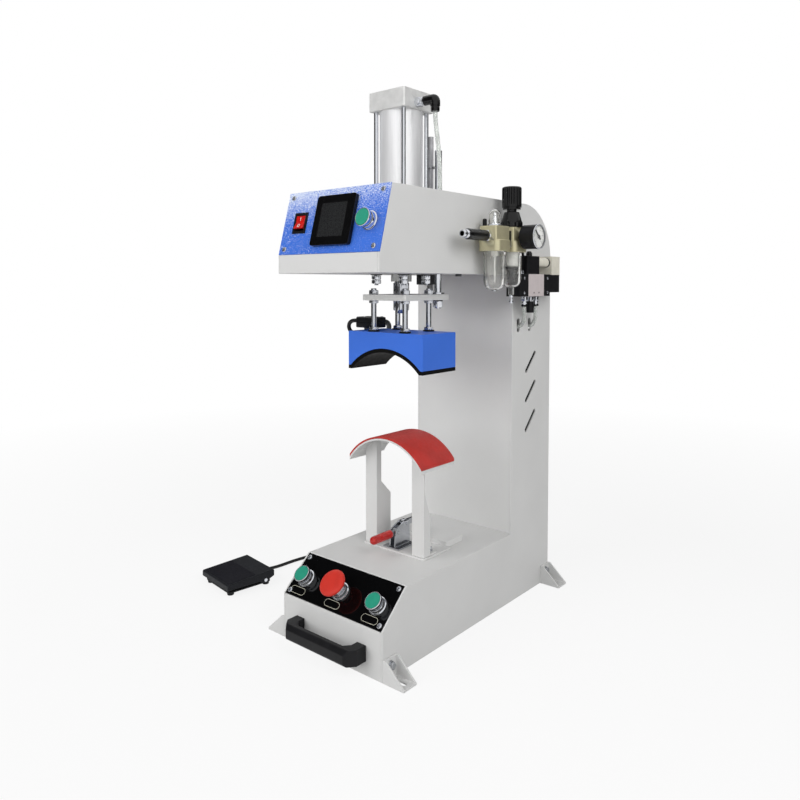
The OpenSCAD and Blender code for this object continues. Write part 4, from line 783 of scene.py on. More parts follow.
def smooth_blue(f, c):
    """Satin blue coat of the platen."""
    f.tone(c.blue, f.noise(14, 3), 0.02)
    f.put(Specular_IOR_Level=0.3)
    f.sheen_of(f.noise(90, 2), 0.34, 0.44)
    return f.bump(f.noise(900, 2, 0.6), 0.00005, 0.4)


def zinc(f, c):
    """Bright zinc plate with a faint mottle."""
    f.tone((0.78, 0.79, 0.81), f.noise(60, 3, 0.5), 0.03)
    f.put(Metallic=1.0)
    f.sheen_of(f.noise(90, 3), 0.15, 0.21)
    return f.bump(f.noise(500, 2), 0.000003, 0.3)


def chrome(f, c):
    """Polished chrome with hardly any haze."""
    f.tone((0.84, 0.85, 0.87), f.noise(60, 2), 0.01)
    f.put(Metallic=1.0)
    f.sheen_of(f.noise(80, 2), 0.05, 0.08)
    return f.bump(f.noise(300, 2), 0.000002, 0.2)


def drawn_tube(f, c):
    """Anodised cylinder tube with fine lines drawn along it."""
    lines = f.noise(900, 3, 0.6, f.stretch(1, 1, 0.02))
    f.tone((0.96, 0.96, 0.965), lines, 0.02)
    f.put(Metallic=0.5)
    f.sheen_of(lines, 0.32, 0.44)
    return f.bump(lines, 0.00002, 0.4)


def matt_cast(f, c):
    """Shot-blasted and lacquered casting of the cylinder caps."""
    f.tone((0.88, 0.88, 0.875), f.noise(80, 3), 0.03)
    f.put(Metallic=0.4)
    f.sheen_of(f.noise(300, 2), 0.40, 0.52)
    return f.bump(f.noise(1300, 3, 0.65), 0.00008, 0.6)


def milled_plate(f, c):
    """Milled aluminium plate with faint cutter lines."""
    lines = f.noise(700, 3, 0.6, f.stretch(1, 0.03, 1))
    f.tone((0.92, 0.92, 0.91), lines, 0.02)
    f.put(Metallic=0.15)
    f.sheen_of(lines, 0.34, 0.44)
    return f.bump(lines, 0.00001, 0.3)


def champagne_cast(f, c):
    """Champagne lacquer on the cast air unit bodies."""
    f.tone(c.cast, f.noise(70, 3), 0.03)
    f.put(Metallic=0.55)
    f.sheen_of(f.noise(260, 2), 0.28, 0.40)
    return f.bump(f.noise(1200, 2, 0.6), 0.00005, 0.5)


def black_plastic(f, c):
    """Moulded black plastic with a fine spark-eroded grain."""
    f.tone(c.black, f.noise(50, 2), 0.12)
    f.put(Specular_IOR_Level=0.18)
    f.sheen_of(f.noise(400, 2), 0.34, 0.44)
    return f.bump(f.noise(1500, 2, 0.6), 0.00006, 0.55)


def black_gloss(f, c):
    """Glossy black moulding or lacquered panel."""
    f.tone((0.036, 0.036, 0.04), f.noise(40, 2), 0.15)
    f.sheen_of(f.noise(160, 2), 0.16, 0.22)
    f.put(Specular_IOR_Level=0.35)
    return f.bump(f.noise(120, 2), 0.00001, 0.2)


def panel_black(f, c):
    """Glossy black lacquer of the sloping control panel."""
    f.tone((0.026, 0.026, 0.03), f.noise(30, 2), 0.10)
    f.sheen_of(f.noise(120, 2), 0.05, 0.08)
    f.put(Specular_IOR_Level=0.35, Coat_Weight=0.2, Coat_Roughness=0.03)
    return f.bump(f.noise(60, 2), 0.000004, 0.2)


def green_cap(f, c):
    """Moulded green cap."""
    f.tone(c.green, f.noise(90, 2), 0.03)
    f.put(Specular_IOR_Level=0.25)
    f.sheen_of(f.noise(300, 2), 0.34, 0.42)
    return f.bump(f.noise(1400, 2), 0.00002, 0.4)


def stop_red(f, c):
    """Moulded red mushroom head."""
    f.tone(c.red, f.noise(70, 2), 0.03)
    f.put(Specular_IOR_Level=0.3)
    f.sheen_of(f.noise(260, 2), 0.30, 0.38)
    return f.bump(f.noise(1400, 2), 0.00002, 0.4)


def key_red(f, c):
    """Clear red rocker key."""
    f.tone(c.key, f.noise(120, 2), 0.06)
    f.sheen_of(f.noise(260, 2), 0.14, 0.22)
    f.put(Coat_Weight=0.5, Coat_Roughness=0.05, Subsurface_Weight=0.1)
    return f.bump(f.noise(800, 2), 0.00002, 0.3)


def dipped_red(f, c):
    """Soft dipped vinyl of the clamp grip."""
    f.tone(c.grip, f.noise(60, 3), 0.05)
    f.sheen_of(f.noise(180, 2), 0.18, 0.28)
    f.put(Coat_Weight=0.3, Coat_Roughness=0.1)
    return f.bump(f.noise(160, 2), 0.00012, 0.3)


def screen_glass(f, c):
    """Dark panel of the touch controller under its film."""
    f.tone((0.135, 0.138, 0.142), f.noise(30, 2), 0.04)
    f.put(Specular_IOR_Level=0.25)
    f.sheen_of(f.noise(800, 2), 0.24, 0.32)
    return f.bump(f.noise(1800, 2), 0.00001, 0.3)


def clear_bowl(f, c):
    """Clear moulded bowl with slight flow lines, darker towards its outline as a painted
    dark reflection.
    """
    # Painted reflection: the colour darkens from the middle of the bowl to its outline.
    f.blend(linear((0.97, 0.97, 0.96)), linear((0.36, 0.37, 0.37)), f.facing(0.35),
            0.30, 0.90)
    f.put(Transmission_Weight=0.97, IOR=1.45)
    f.sheen_of(f.noise(160, 2), 0.02, 0.07)
    return f.bump(f.noise(130, 2, 0.5, f.stretch(1, 1, 0.3)), 0.0001, 0.25)


def clear_hose(f, c):
    """Clear hose, a little milky."""
    f.tone((0.93, 0.94, 0.93), f.noise(90, 2), 0.03)
    f.put(Transmission_Weight=0.75, IOR=1.4)
    f.sheen_of(f.noise(300, 2), 0.12, 0.22)
    return f.bump(f.noise(260, 2), 0.00005, 0.3)


def gauge_glass(f, c):
    """Window over the dial."""
    f.tone((0.98, 0.98, 0.98), f.noise(40, 2), 0.01)
    f.put(Transmission_Weight=1.0, IOR=1.3)
    return f.sheen_of(f.noise(300, 2), 0.01, 0.03)


def dial_white(f, c):
    """Printed dial, white and slightly satin."""
    f.tone((0.94, 0.94, 0.93), f.noise(200, 2), 0.02)
    f.sheen_of(f.noise(500, 2), 0.40, 0.50)
    return f.bump(f.noise(1500, 2), 0.00001, 0.3)


def print_black(f, c):
    """Black print and needles."""
    f.tone((0.06, 0.06, 0.065), f.noise(300, 2), 0.2)
    f.sheen_of(f.noise(500, 2), 0.40, 0.50)
    return f.bump(f.noise(1500, 2), 0.00001, 0.3)


def print_pale(f, c):
    """Pale printed outlines."""
    f.tone((0.80, 0.79, 0.72), f.noise(500, 3), 0.08)
    f.sheen_of(f.noise(500, 2), 0.36, 0.46)
    return f.bump(f.noise(1500, 2), 0.00001, 0.3)


def rubber(f, c):
    """Black rubber and cord sheath."""
    f.tone((0.075, 0.075, 0.08), f.noise(120, 3), 0.12)
    f.put(Specular_IOR_Level=0.3)
    f.sheen_of(f.noise(300, 2), 0.40, 0.54)
    return f.bump(f.noise(1200, 3, 0.6), 0.00006, 0.5)


def liner_black(f, c):
    """Black silicone liner with a slight bloom."""
    f.tone((0.06, 0.058, 0.056), f.noise(45, 4), 0.10)
    f.put(Specular_IOR_Level=0.05)
    f.sheen_of(f.noise(120, 3), 0.52, 0.64)
    return f.bump(f.noise(700, 3, 0.6), 0.00010, 0.5)


def red_silicone(f, c):
    """Brick red silicone sheet with a fine cloth imprint."""
    f.tone(c.pad, f.noise(40, 4), 0.06)
    f.sheen_of(f.noise(200, 3), 0.44, 0.56)
    f.bump(f.waves(0.0011, "X"), 0.00005, 0.4)
    return f.bump(f.waves(0.0011, "Y"), 0.00005, 0.4)


def bronze(f, c):
    """Sintered bronze: packed round grains."""
    f.tone((0.68, 0.55, 0.36), f.noise(900, 2), 0.12)
    f.put(Metallic=0.9)
    f.sheen_of(f.noise(600, 2), 0.34, 0.50)
    return f.bump(f.cells(1500), 0.0003, 0.8)


def dark_steel(f, c):
    """Blackened steel."""
    f.tone((0.30, 0.30, 0.31), f.noise(160, 4), 0.12)
    f.put(Metallic=0.8)
    f.sheen_of(f.noise(300, 3), 0.32, 0.46)
    return f.bump(f.noise(1300, 2), 0.00003, 0.4)


def grey_steel(f, c):
    """Plain rolled steel, slightly oiled."""
    f.tone((0.72, 0.72, 0.73), f.noise(120, 3), 0.06)
    f.put(Metallic=0.7)
    f.sheen_of(f.noise(200, 3), 0.30, 0.40)
    return f.bump(f.noise(900, 2), 0.00001, 0.3)


def valve_silver(f, c):
    """Satin silver anodising of the valve block."""
    f.tone((0.84, 0.80, 0.80), f.noise(90, 2), 0.015)
    f.put(Metallic=0.1)
    f.sheen_of(f.noise(260, 2), 0.36, 0.44)
    return f.bump(f.noise(1200, 2), 0.00001, 0.3)


def pale_plastic(f, c):
    """Cream moulded plastic."""
    f.tone(c.pale, f.noise(80, 2), 0.03)
    f.sheen_of(f.noise(300, 2), 0.34, 0.44)
    return f.bump(f.noise(1300, 2), 0.00003, 0.4)


def heater_cast(f, c):
    """Rough cast aluminium of the heater block."""
    f.tone((0.62, 0.62, 0.61), f.noise(120, 4), 0.10)
    f.put(Metallic=0.8)
    f.sheen_of(f.noise(300, 3), 0.45, 0.60)
    return f.bump(f.noise(500, 3, 0.6), 0.0003, 0.6)


def treadle_black(f, c):
    """Painted treadle with a leather-like grain."""
    f.tone((0.125, 0.13, 0.145), f.noise(60, 3), 0.06)
    f.put(Specular_IOR_Level=0.14)
    f.sheen_of(f.noise(200, 3), 0.40, 0.50)
    return f.bump(f.cells(900, Smoothness=0.5), 0.00012, 0.5)


def dark_ribbed(f, c):
    """Darker ribbed surface over the front of the treadle."""
    f.tone((0.085, 0.085, 0.11), f.noise(90, 3), 0.08)
    f.put(Specular_IOR_Level=0.12)
    f.sheen_of(f.noise(200, 3), 0.50, 0.60)
    f.bump(f.noise(1000, 3, 0.6), 0.0001, 0.5)
    return f.bump(f.waves(0.0022, "X"), 0.00012, 0.4)


FINISHES = {make.__name__: make for make in (
    powder_coat, hammered_blue, smooth_blue, zinc, chrome, drawn_tube, matt_cast,
    milled_plate, champagne_cast, black_plastic, black_gloss, panel_black, green_cap,
    stop_red, key_red, dipped_red, screen_glass, clear_bowl, clear_hose, gauge_glass,
    dial_white, print_black, print_pale, rubber, liner_black, red_silicone, bronze,
    dark_steel, grey_steel, valve_silver, pale_plastic, heater_cast, treadle_black,
    dark_ribbed)}


# Operators

class PRESS_OT_stage(bpy.types.Operator):
    """Camera, floor, lamps and world"""

    bl_idname = "press.stage"
    bl_label = "Stage"

    def execute(self, context):
        scene = context.scene
        scene.view_settings.view_transform = "Standard"
        data = bpy.data.cameras.new("camera")
        data.lens, data.sensor_width = CAMERA_LENS, 36.0
        data.shift_x, data.shift_y = 0.0, CAMERA_SHIFT
        data.clip_start, data.clip_end = 0.05, 100.0
        camera = bpy.data.objects.new("camera", data)
        camera.location = CAMERA_AT
        camera.rotation_euler = np.radians((CAMERA_TILT, 0.0, CAMERA_TURN))
        scene.collection.objects.link(camera)
        scene.camera = camera
        self.floor(scene)
        self.cards(scene)
        self.lamps(scene)
        self.world(scene)
        return {"FINISHED"}

    def floor(self, scene):
        """White floor 0.1 mm under the feet. For what the camera, gloss and
        glass see it mostly glows, and wholly so further out, so the object's
        shadow stays near it."""
        r, n = 12.0, 25
        u = np.linspace(-r, r, n)
        x, y = np.meshgrid(u, u, indexing="ij")
        grid = np.stack([x, y, np.full_like(x, -0.0001)], -1).reshape(-1, 3)
        mesh = bpy.data.meshes.new("floor")
        mesh.from_pydata(grid.tolist(), [], grid_faces(n, n).tolist())
        obj = bpy.data.objects.new("floor", mesh)
        scene.collection.objects.link(obj)
        f = Finish("floor")
        seen = seen_rays(f.tree)
        f.blend(linear([0.74] * 3), linear([0.96] * 3), seen, 0, 1)
        f.put(Roughness=0.9, Specular_IOR_Level=0.0)
        far = add_node(f.tree, "VectorMath", {0: f.place}, {"operation": "LENGTH"})
        share = joined(f.tree, ramp(f.tree, far.outputs["Value"], 0.7, 2.2, 0.84, 1.0),
                       seen, "MULTIPLY")
        glow = add_node(f.tree, "Emission", Strength=1.0)
        mix = add_node(f.tree, "MixShader", {0: share, 1: f.shader.outputs["BSDF"],
                                             2: glow.outputs["Emission"]})
        f.tree.links.new(mix.outputs["Shader"], f.out.inputs["Surface"])
        mesh.materials.append(f.material)

    def cards(self, scene):
        """Dark cards that only gloss sees, as in a product studio: one before
        the black panels, and a half ring behind for the bright rods."""
        places = [((-1.72, -1.37, 1.73), 1.8, 1.8, 0.06)]
        for turn in range(15, 256, 30):
            a = math.radians(turn)
            places.append(((2.4 * math.cos(a), 2.4 * math.sin(a), 0.75),
                           1.26, 1.7, 0.16))
        for k, (place, wide, tall, shade) in enumerate(places):
            corners = np.array([[-wide, -tall, 0], [wide, -tall, 0],
                                [wide, tall, 0], [-wide, tall, 0]]) / 2
            away = np.array(place) - (0, AXIS_Y * MM, 0.45)
            if k:
                away[2] = 0.0
            side = np.cross((0, 0, 1), away)
            card = aimed((corners, [], []), place, away, side)
            mesh = bpy.data.meshes.new(f"card_{k}")
            mesh.from_pydata(card[0].tolist(), [], [(0, 1, 2, 3)])
            obj = bpy.data.objects.new(f"card_{k}", mesh)
            scene.collection.objects.link(obj)
            f = Finish(f"card_{k}")
            f.tone((shade, shade, shade), f.noise(2), 0.02)
            mesh.materials.append(f.material)
            obj.visible_camera = obj.visible_diffuse = False
            obj.visible_transmission = obj.visible_shadow = False

    def lamps(self, scene):
        """A wide key from the upper front left and a weak fill."""
        for name, strength, place, aim, size in (
                ("key", 35.0, (-0.9, -2.3, 1.5), (0, 0, 0.5), 2.2),
                ("fill", 11.0, (1.35, -0.55, 1.3), (0, 0, 0.7), 1.0)):
            light = bpy.data.lights.new(name, "AREA")
            light.energy, light.size = strength, size
            obj = bpy.data.objects.new(name, light)
            away = np.array(place) - np.array(aim)
            obj.location = place
            tilt = math.atan2(math.hypot(away[0], away[1]), away[2])
            turn = math.atan2(away[0], -away[1])
            obj.rotation_euler = (tilt, 0.0, turn)
            obj.visible_glossy = False
            scene.collection.objects.link(obj)

    def world(self, scene):
        """White for what the camera, gloss and glass see, softer for light."""
        world = bpy.data.worlds.new("studio")
        world.use_nodes = True
        scene.world = world
        tree = world.node_tree
        tree.nodes.clear()
        split = add_node(tree, "SeparateXYZ",
                         {"Vector": add_node(tree, "TexCoord").outputs["Generated"]})
        fall = ramp(tree, split.outputs["Z"], 0.0, 1.0, 0.97, 0.12)
        white = (1, 1, 1, 1)
        soft = add_node(tree, "Background", {"Strength": fall}, Color=white)
        plain = add_node(tree, "Background", Color=white, Strength=1.0)
        mix = add_node(tree, "MixShader", {0: seen_rays(tree), 1: soft.outputs[0],
                                           2: plain.outputs[0]})
        add_node(tree, "OutputWorld", {"Surface": mix.outputs[0]})


def coil_path():
    """The coil winds in on the floor and out again on top: at share u the
    angle is the turns times u, the radius is the mean one plus the pitch
    times how far the turns left on its layer pass half a layer's turns, and
    the height steps up by one layer in the middle."""
    turns, mean, pitch, layer = 5, 33, 6.7, 6.5
    u = np.linspace(0, 1, 241)
    a = np.radians(360 * turns * u - 90)
    r = mean + pitch * (turns / 2) * (np.abs(2 * u - 1) - 0.5)
    z = 3.2 + layer * np.clip(turns * (2 * u - 1) + 0.5, 0, 1)
    return np.stack([-40 + r * np.cos(a), 322 + r * np.sin(a), z], -1)


class PRESS_OT_cords(bpy.types.Operator):
    """Pedal cord, supply lead, connector lead and air hoses"""

    bl_idname = "press.cords"
    bl_label = "Cords and hoses"

    def execute(self, context):
        front = smooth_path(CORD_ROUTE, 5)
        rear = smooth_path(REAR_ROUTE, 5)
        coil = coil_path()
        path = np.concatenate([front[:-1], coil, rear[1:]])[::-1]
        sleeve = self.sleeve("cord_sleeve_rear", path[:22], 5.0)
        boot = self.sleeve("cord_sleeve_pedal", path[::-1][:10], 4.9)
        cord = self.lead("pedal_lead", path, PEDAL_CORD, 14, "stand",
                         "pedal_cord", "pedal_coil", "pedal_cord_rear")

        path = smooth_path(SUPPLY_ROUTE, 4)[::-1]
        lead = self.lead("supply_lead", path, SUPPLY_LEAD, 16, None, "heater_cable")
        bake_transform(lead)

        path = smooth_path(LOOP_ROUTE, 5)
        loop = self.lead("platen_lead", path, LOOP_LEAD, 16, "head", "heater_plug")

        for name, route in (("hose_upper", UPPER_ROUTE), ("hose_lower", LOWER_ROUTE)):
            path = smooth_path(route, 4)
            hose = make_piece(name, [hollow_tube(path, AIR_HOSE / 2, 2.4)], "stand",
                              "clear_hose", ("air_hoses",))
        return {"FINISHED"}

    def lead(self, name, path, width, around, body, *nodes):
        """Round rubber lead: a circle of half the width along the path."""
        return make_piece(name, [tube(path, width / 2, around)], body, "rubber",
                          nodes)

    def sleeve(self, name, path, start, end=3.3):
        """Tapered strain relief: at share u of the path the radius is
        start + (end - start) u, less 0.35 mm in the grooves where
        cos(14 pi u) passes 0.2."""
        u = np.linspace(0, 1, len(path) * 4)
        at = np.linspace(0, len(path) - 1, len(path) * 4)
        fine = np.stack([np.interp(at, np.arange(len(path)), path[:, k])
                         for k in range(3)], -1)
        r = start + (end - start) * u - 0.35 * (np.cos(u * 14 * np.pi) > 0.2)
        return make_piece(name, [tube(fine, np.maximum(r, 3.1), 20)], "stand",
                          "rubber")


class PRESS_OT_stand(bpy.types.Operator):
    """Painted sheet steel of the stand"""

    bl_idname = "press.stand"
    bl_label = "Stand"

    def execute(self, context):
        edge = context.scene.press_sizes.sheet_edge
        for node in ("side_plate_left", "side_plate_right", "base_skin",
                     "column_front", "arm_floor", "arm_roof", "rear_cover",
                     "foot_brackets", "form_base", "form_stand"):
            softened(node, edge, "powder_coat", "painted")
        return {"FINISHED"}


class PRESS_OT_fasteners(bpy.types.Operator):
    """Screws, bolts and the dark cap screw under the arm"""

    bl_idname = "press.fasteners"
    bl_label = "Fasteners"

    def execute(self, context):
        heads = [aimed(pan_head(), face.at(x, s), face.out, (1, lean, 0))
                 for face, wide, inset, lean in ((SLOPE, 95, 7, 0.4), (HEAD, 93, 9, 0.5))
                 for x in (-wide, wide) for s in (inset, face.length - inset)]
        heads += [aimed(pan_head(), (x, REAR_Y, z), BACK, (1, 0, 0.3))
                  for x in (-95, 95) for z in (30, 300, 570)]
        make_piece("panel_screws", heads, "stand", "zinc", ("fasteners",), sharp=50)
        bolt = (lathe(ring(0, 6.3, 0, 1.5), 0.3, 40), nut(9.9, 4.2, 1.5))
        bolts = []
        for i in SIDES:
            # Two on the foot brackets of each side and one on the form's base
            bolts += [aimed(p, (i * 108, y, 21.78), (i, 0, 0))
                      for y in (-223.5, 223.5) for p in bolt]
            bolts += [aimed(p, (i * 50.5, -62, 127.5)) for p in bolt]
        low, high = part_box("carry_handle")
        middle = (low[2] + high[2]) / 2 / MM
        bolts += [aimed(nut(8.8, 4.8), (i * 66, FRONT_Y + 2, middle), BACK) for i in SIDES]
        make_piece("bolts", bolts, "stand", "zinc")
        cap = lathe([(0, 4), (1.8, 4), (1.8, 1.6), (2.6, 0.2), (5, 0.2),
                     (5, 4), (0, 4)], 0.25, 40)
        make_piece("arm_cap_screw", [aimed(cap, (90, -37, 575))], "stand",
                   "dark_steel")
        return {"FINISHED"}


class PRESS_OT_panels(bpy.types.Operator):
    """Control panel with its printed outlines, and the hammered head panel"""

    bl_idname = "press.panels"
    bl_label = "Panels"

    def execute(self, context):
        softened("control_panel", 0.0003, "panel_black", "printed")
        softened("head_panel", 0.0003, "hammered_blue", "hammered")
        capsule = corner_outline(31, 11.4, 5.65, 10)
        marks = [SLOPE.lay(band(capsule, 0.6, 0.0, 0.05), x, 10.4)
                 for x in (-80, -4, 73)]
        make_piece("caption_outlines", marks, "stand", "print_pale")
        return {"FINISHED"}


class PRESS_OT_buttons(bpy.types.Operator):
    """Start buttons, head button and emergency stop"""

    bl_idname = "press.buttons"
    bl_label = "Buttons"

    def execute(self, context):
        start = self.housing(11.4, 7.06)
        make_piece("button_barrels",
                   [SLOPE.lay(start, -START_X, START_UP),
                    SLOPE.lay(start, START_X, START_UP),
                    SLOPE.lay(self.housing(10.5, 6.06), 0, START_UP),
                    HEAD.lay(start, *HEAD_BUTTON)],
                   "stand", "chrome", ("button_housings",))
        for name, body, face, place in (
                ("start_button_left", "left_button", SLOPE, (-START_X, START_UP)),
                ("start_button_right", "right_button", SLOPE, (START_X, START_UP)),
                ("head_button", "start_button", HEAD, HEAD_BUTTON)):
            make_piece(name + "_sleeve", [face.lay(self.sleeve(), *place)], body,
                       "chrome", (name,))
            make_piece(name + "_cap", [face.lay(self.cap(), *place)], body,
                       "green_cap", (name,))
        stem = lathe([(0, -14), (6, -14), (6, -10.3), (7.5, -10.3),
                      (7.5, -6.3), (6, -6.3), (6, 4.4), (10, 4.4),
                      (10, 12), (9.3, 12.5), (9.3, 18.6), (6, 18.6),
                      (6, 27), (0, 27)], 0.35, 64)
        make_piece("stop_stem_sleeve", [SLOPE.lay(stem, 0, START_UP)],
                   "stop_stem", "chrome", ("estop_stem",))
        head = lathe([(6.1, 19.0), (9, 19.0), (10, 21), (16.5, 22.6),
                      (20.6, 24.6), (21.5, 27.0), (20.6, 29.2), (17.6, 30.5),
                      (12, 31.0), (0, 31.1), (0, 28.3), (6.1, 28.3)],
                     [0.2, 0.3, 0.6, 2, 1.6, 1.6, 1.6, 1.6, 2, 0, 0, 0.2],
                     96, True, steps=5)
        make_piece("estop_head_mushroom", [SLOPE.lay(head, 0, START_UP)],
                   "stop_head", "stop_red", ("estop_head",), sharp=50)
        return {"FINISHED"}

    def housing(self, wide, bore):
        """Chrome housing: thread and nut behind the panel, flange and barrel
        before it, with a pocket that the sleeve slides in."""
        return lathe([(bore + 2, -26), (11, -26), (11, -6), (14, -6),
                      (14, -2.1), (11, -2.1), (11, 0), (14.5, 0),
                      (14.5, 2.6), (12.9, 3.2), (12.2, 8.5), (wide, 8.5),
                      (wide, -1), (bore, -1), (bore, -6), (bore + 2, -6)],
                     0.35, 72, True)

    def sleeve(self):
        """Chrome sleeve and rim that move with the cap."""
        return lathe([(0, -14), (7, -14), (7, -10.3), (8.5, -10.3),
                      (8.5, -6.3), (7, -6.3), (7, 3.4), (11, 3.4), (11, 12.8),
                      (13.3, 13.4), (13.5, 17.2), (13.0, 17.9), (12.2, 17.9),
                      (12.2, 16.6), (0, 16.6)], 0.3, 72)

    def cap(self):
        """Green cap in the rim, very slightly dished."""
        return lathe([(0, 16.6), (12.1, 16.6), (12.1, 18.0), (9, 17.85),
                      (0, 17.7)], [0, 0, 0.5, 2, 0], 72)


class PRESS_OT_switches(bpy.types.Operator):
    """Rocker switch and touch controller"""

    bl_idname = "press.switches"
    bl_label = "Switches"

    def execute(self, context):
        softened("rocker_frame", 0.0005, "black_plastic", "moulded")
        softened("rocker_key", 0.0006, "key_red", "moulded", 3)
        self.rocker_marks()
        softened("hmi_housing", 0.0003, "black_gloss", "moulded", 3)
        softened("hmi_screen", 0.0002, "screen_glass", "film")
        refinish("control_gear", "black_plastic")
        return {"FINISHED"}

    def rocker_marks(self):
        """A stroke and a ring on the halves of the key, which pivots 4 mm
        under the panel and rests tilted. Each half leans 10.5 degrees."""
        tilt, lean, out = math.radians(-9), math.radians(10.5), 5.6
        up, over = math.cos(tilt), math.sin(tilt)
        # The key's face is 5.5 mm over the pivot and rises by 2 mm in 10.5 mm
        rise = 5.5 + 2 * out / 10.5 + 0.03
        one = slab(0.9, 5.2, 0.3, [(0, 0), (0, 0.15)])
        nought = band(corner_outline(4.6, 6.0, 2.3, 8), 0.8, 0, 0.15)
        marks = []
        for part, half in ((one, 1), (nought, -1)):
            a = half * lean + tilt
            place = HEAD.at(-67.5, 50 + up * half * out - over * rise,
                            -4 + over * half * out + up * rise)
            away = HEAD.at(0, -math.sin(a), math.cos(a)) - HEAD.at(0, 0, 0)
            marks.append(aimed(part, place, away, RIGHT))
        make_piece("rocker_marks", marks, "rocker", "dial_white")


class PRESS_OT_handle(bpy.types.Operator):
    """Carry handle"""

    bl_idname = "press.handle"
    bl_label = "Carry handle"

    def execute(self, context):
        softened("carry_handle", context.scene.press_sizes.handle_edge,
                 "black_plastic", "moulded", 3, angle=20)
        return {"FINISHED"}


class PRESS_OT_cylinder(bpy.types.Operator):
    """Air cylinder with its tie rods"""

    bl_idname = "press.cylinder"
    bl_label = "Cylinder"

    def execute(self, context):
        wall = lathe([(35, TUBE_Z), (35, TOP_Z), (31.5, TOP_Z), (31.5, TUBE_Z)],
                     0.2, 128, True)
        make_piece("cylinder_tube", [aimed(wall, (0, AXIS_Y, 0))], "stand",
                   "drawn_tube", ("cylinder_barrel",))
        softened("cylinder_caps", 0.0006, "matt_cast", "cast")
        pitch = context.scene.press_sizes.thread_pitch / MM
        rod = [lathe([(0, 864), (5.5, 864), (5.5, 869), (2.4, 869), (2.4, 866.5),
                      (0, 866.5)], 0.3, 32),
               lathe(ring(0, 3.5, 590, 864.2), 0, 32),
               threaded(3.5, 561, 590.5, pitch), nut(14, 6.6, 570.4),
               nut(14, 6.6, 563.4)]
        # The washers under the arm are dark for painted shade there.
        washer = lathe(ring(0, 9.5, ARM_Z - 1.6, ARM_Z), 0.3, 40)
        places = [(i * TIE_ROD, AXIS_Y + j * TIE_ROD, 0) for i, j in CORNERS]
        make_piece("tie_rods_plated", [aimed(p, at) for at in places for p in rod],
                   "stand", "chrome", ("tie_rods",))
        make_piece("tie_rod_washers", [aimed(washer, at) for at in places], "stand",
                   "dark_steel")
        return {"FINISHED"}


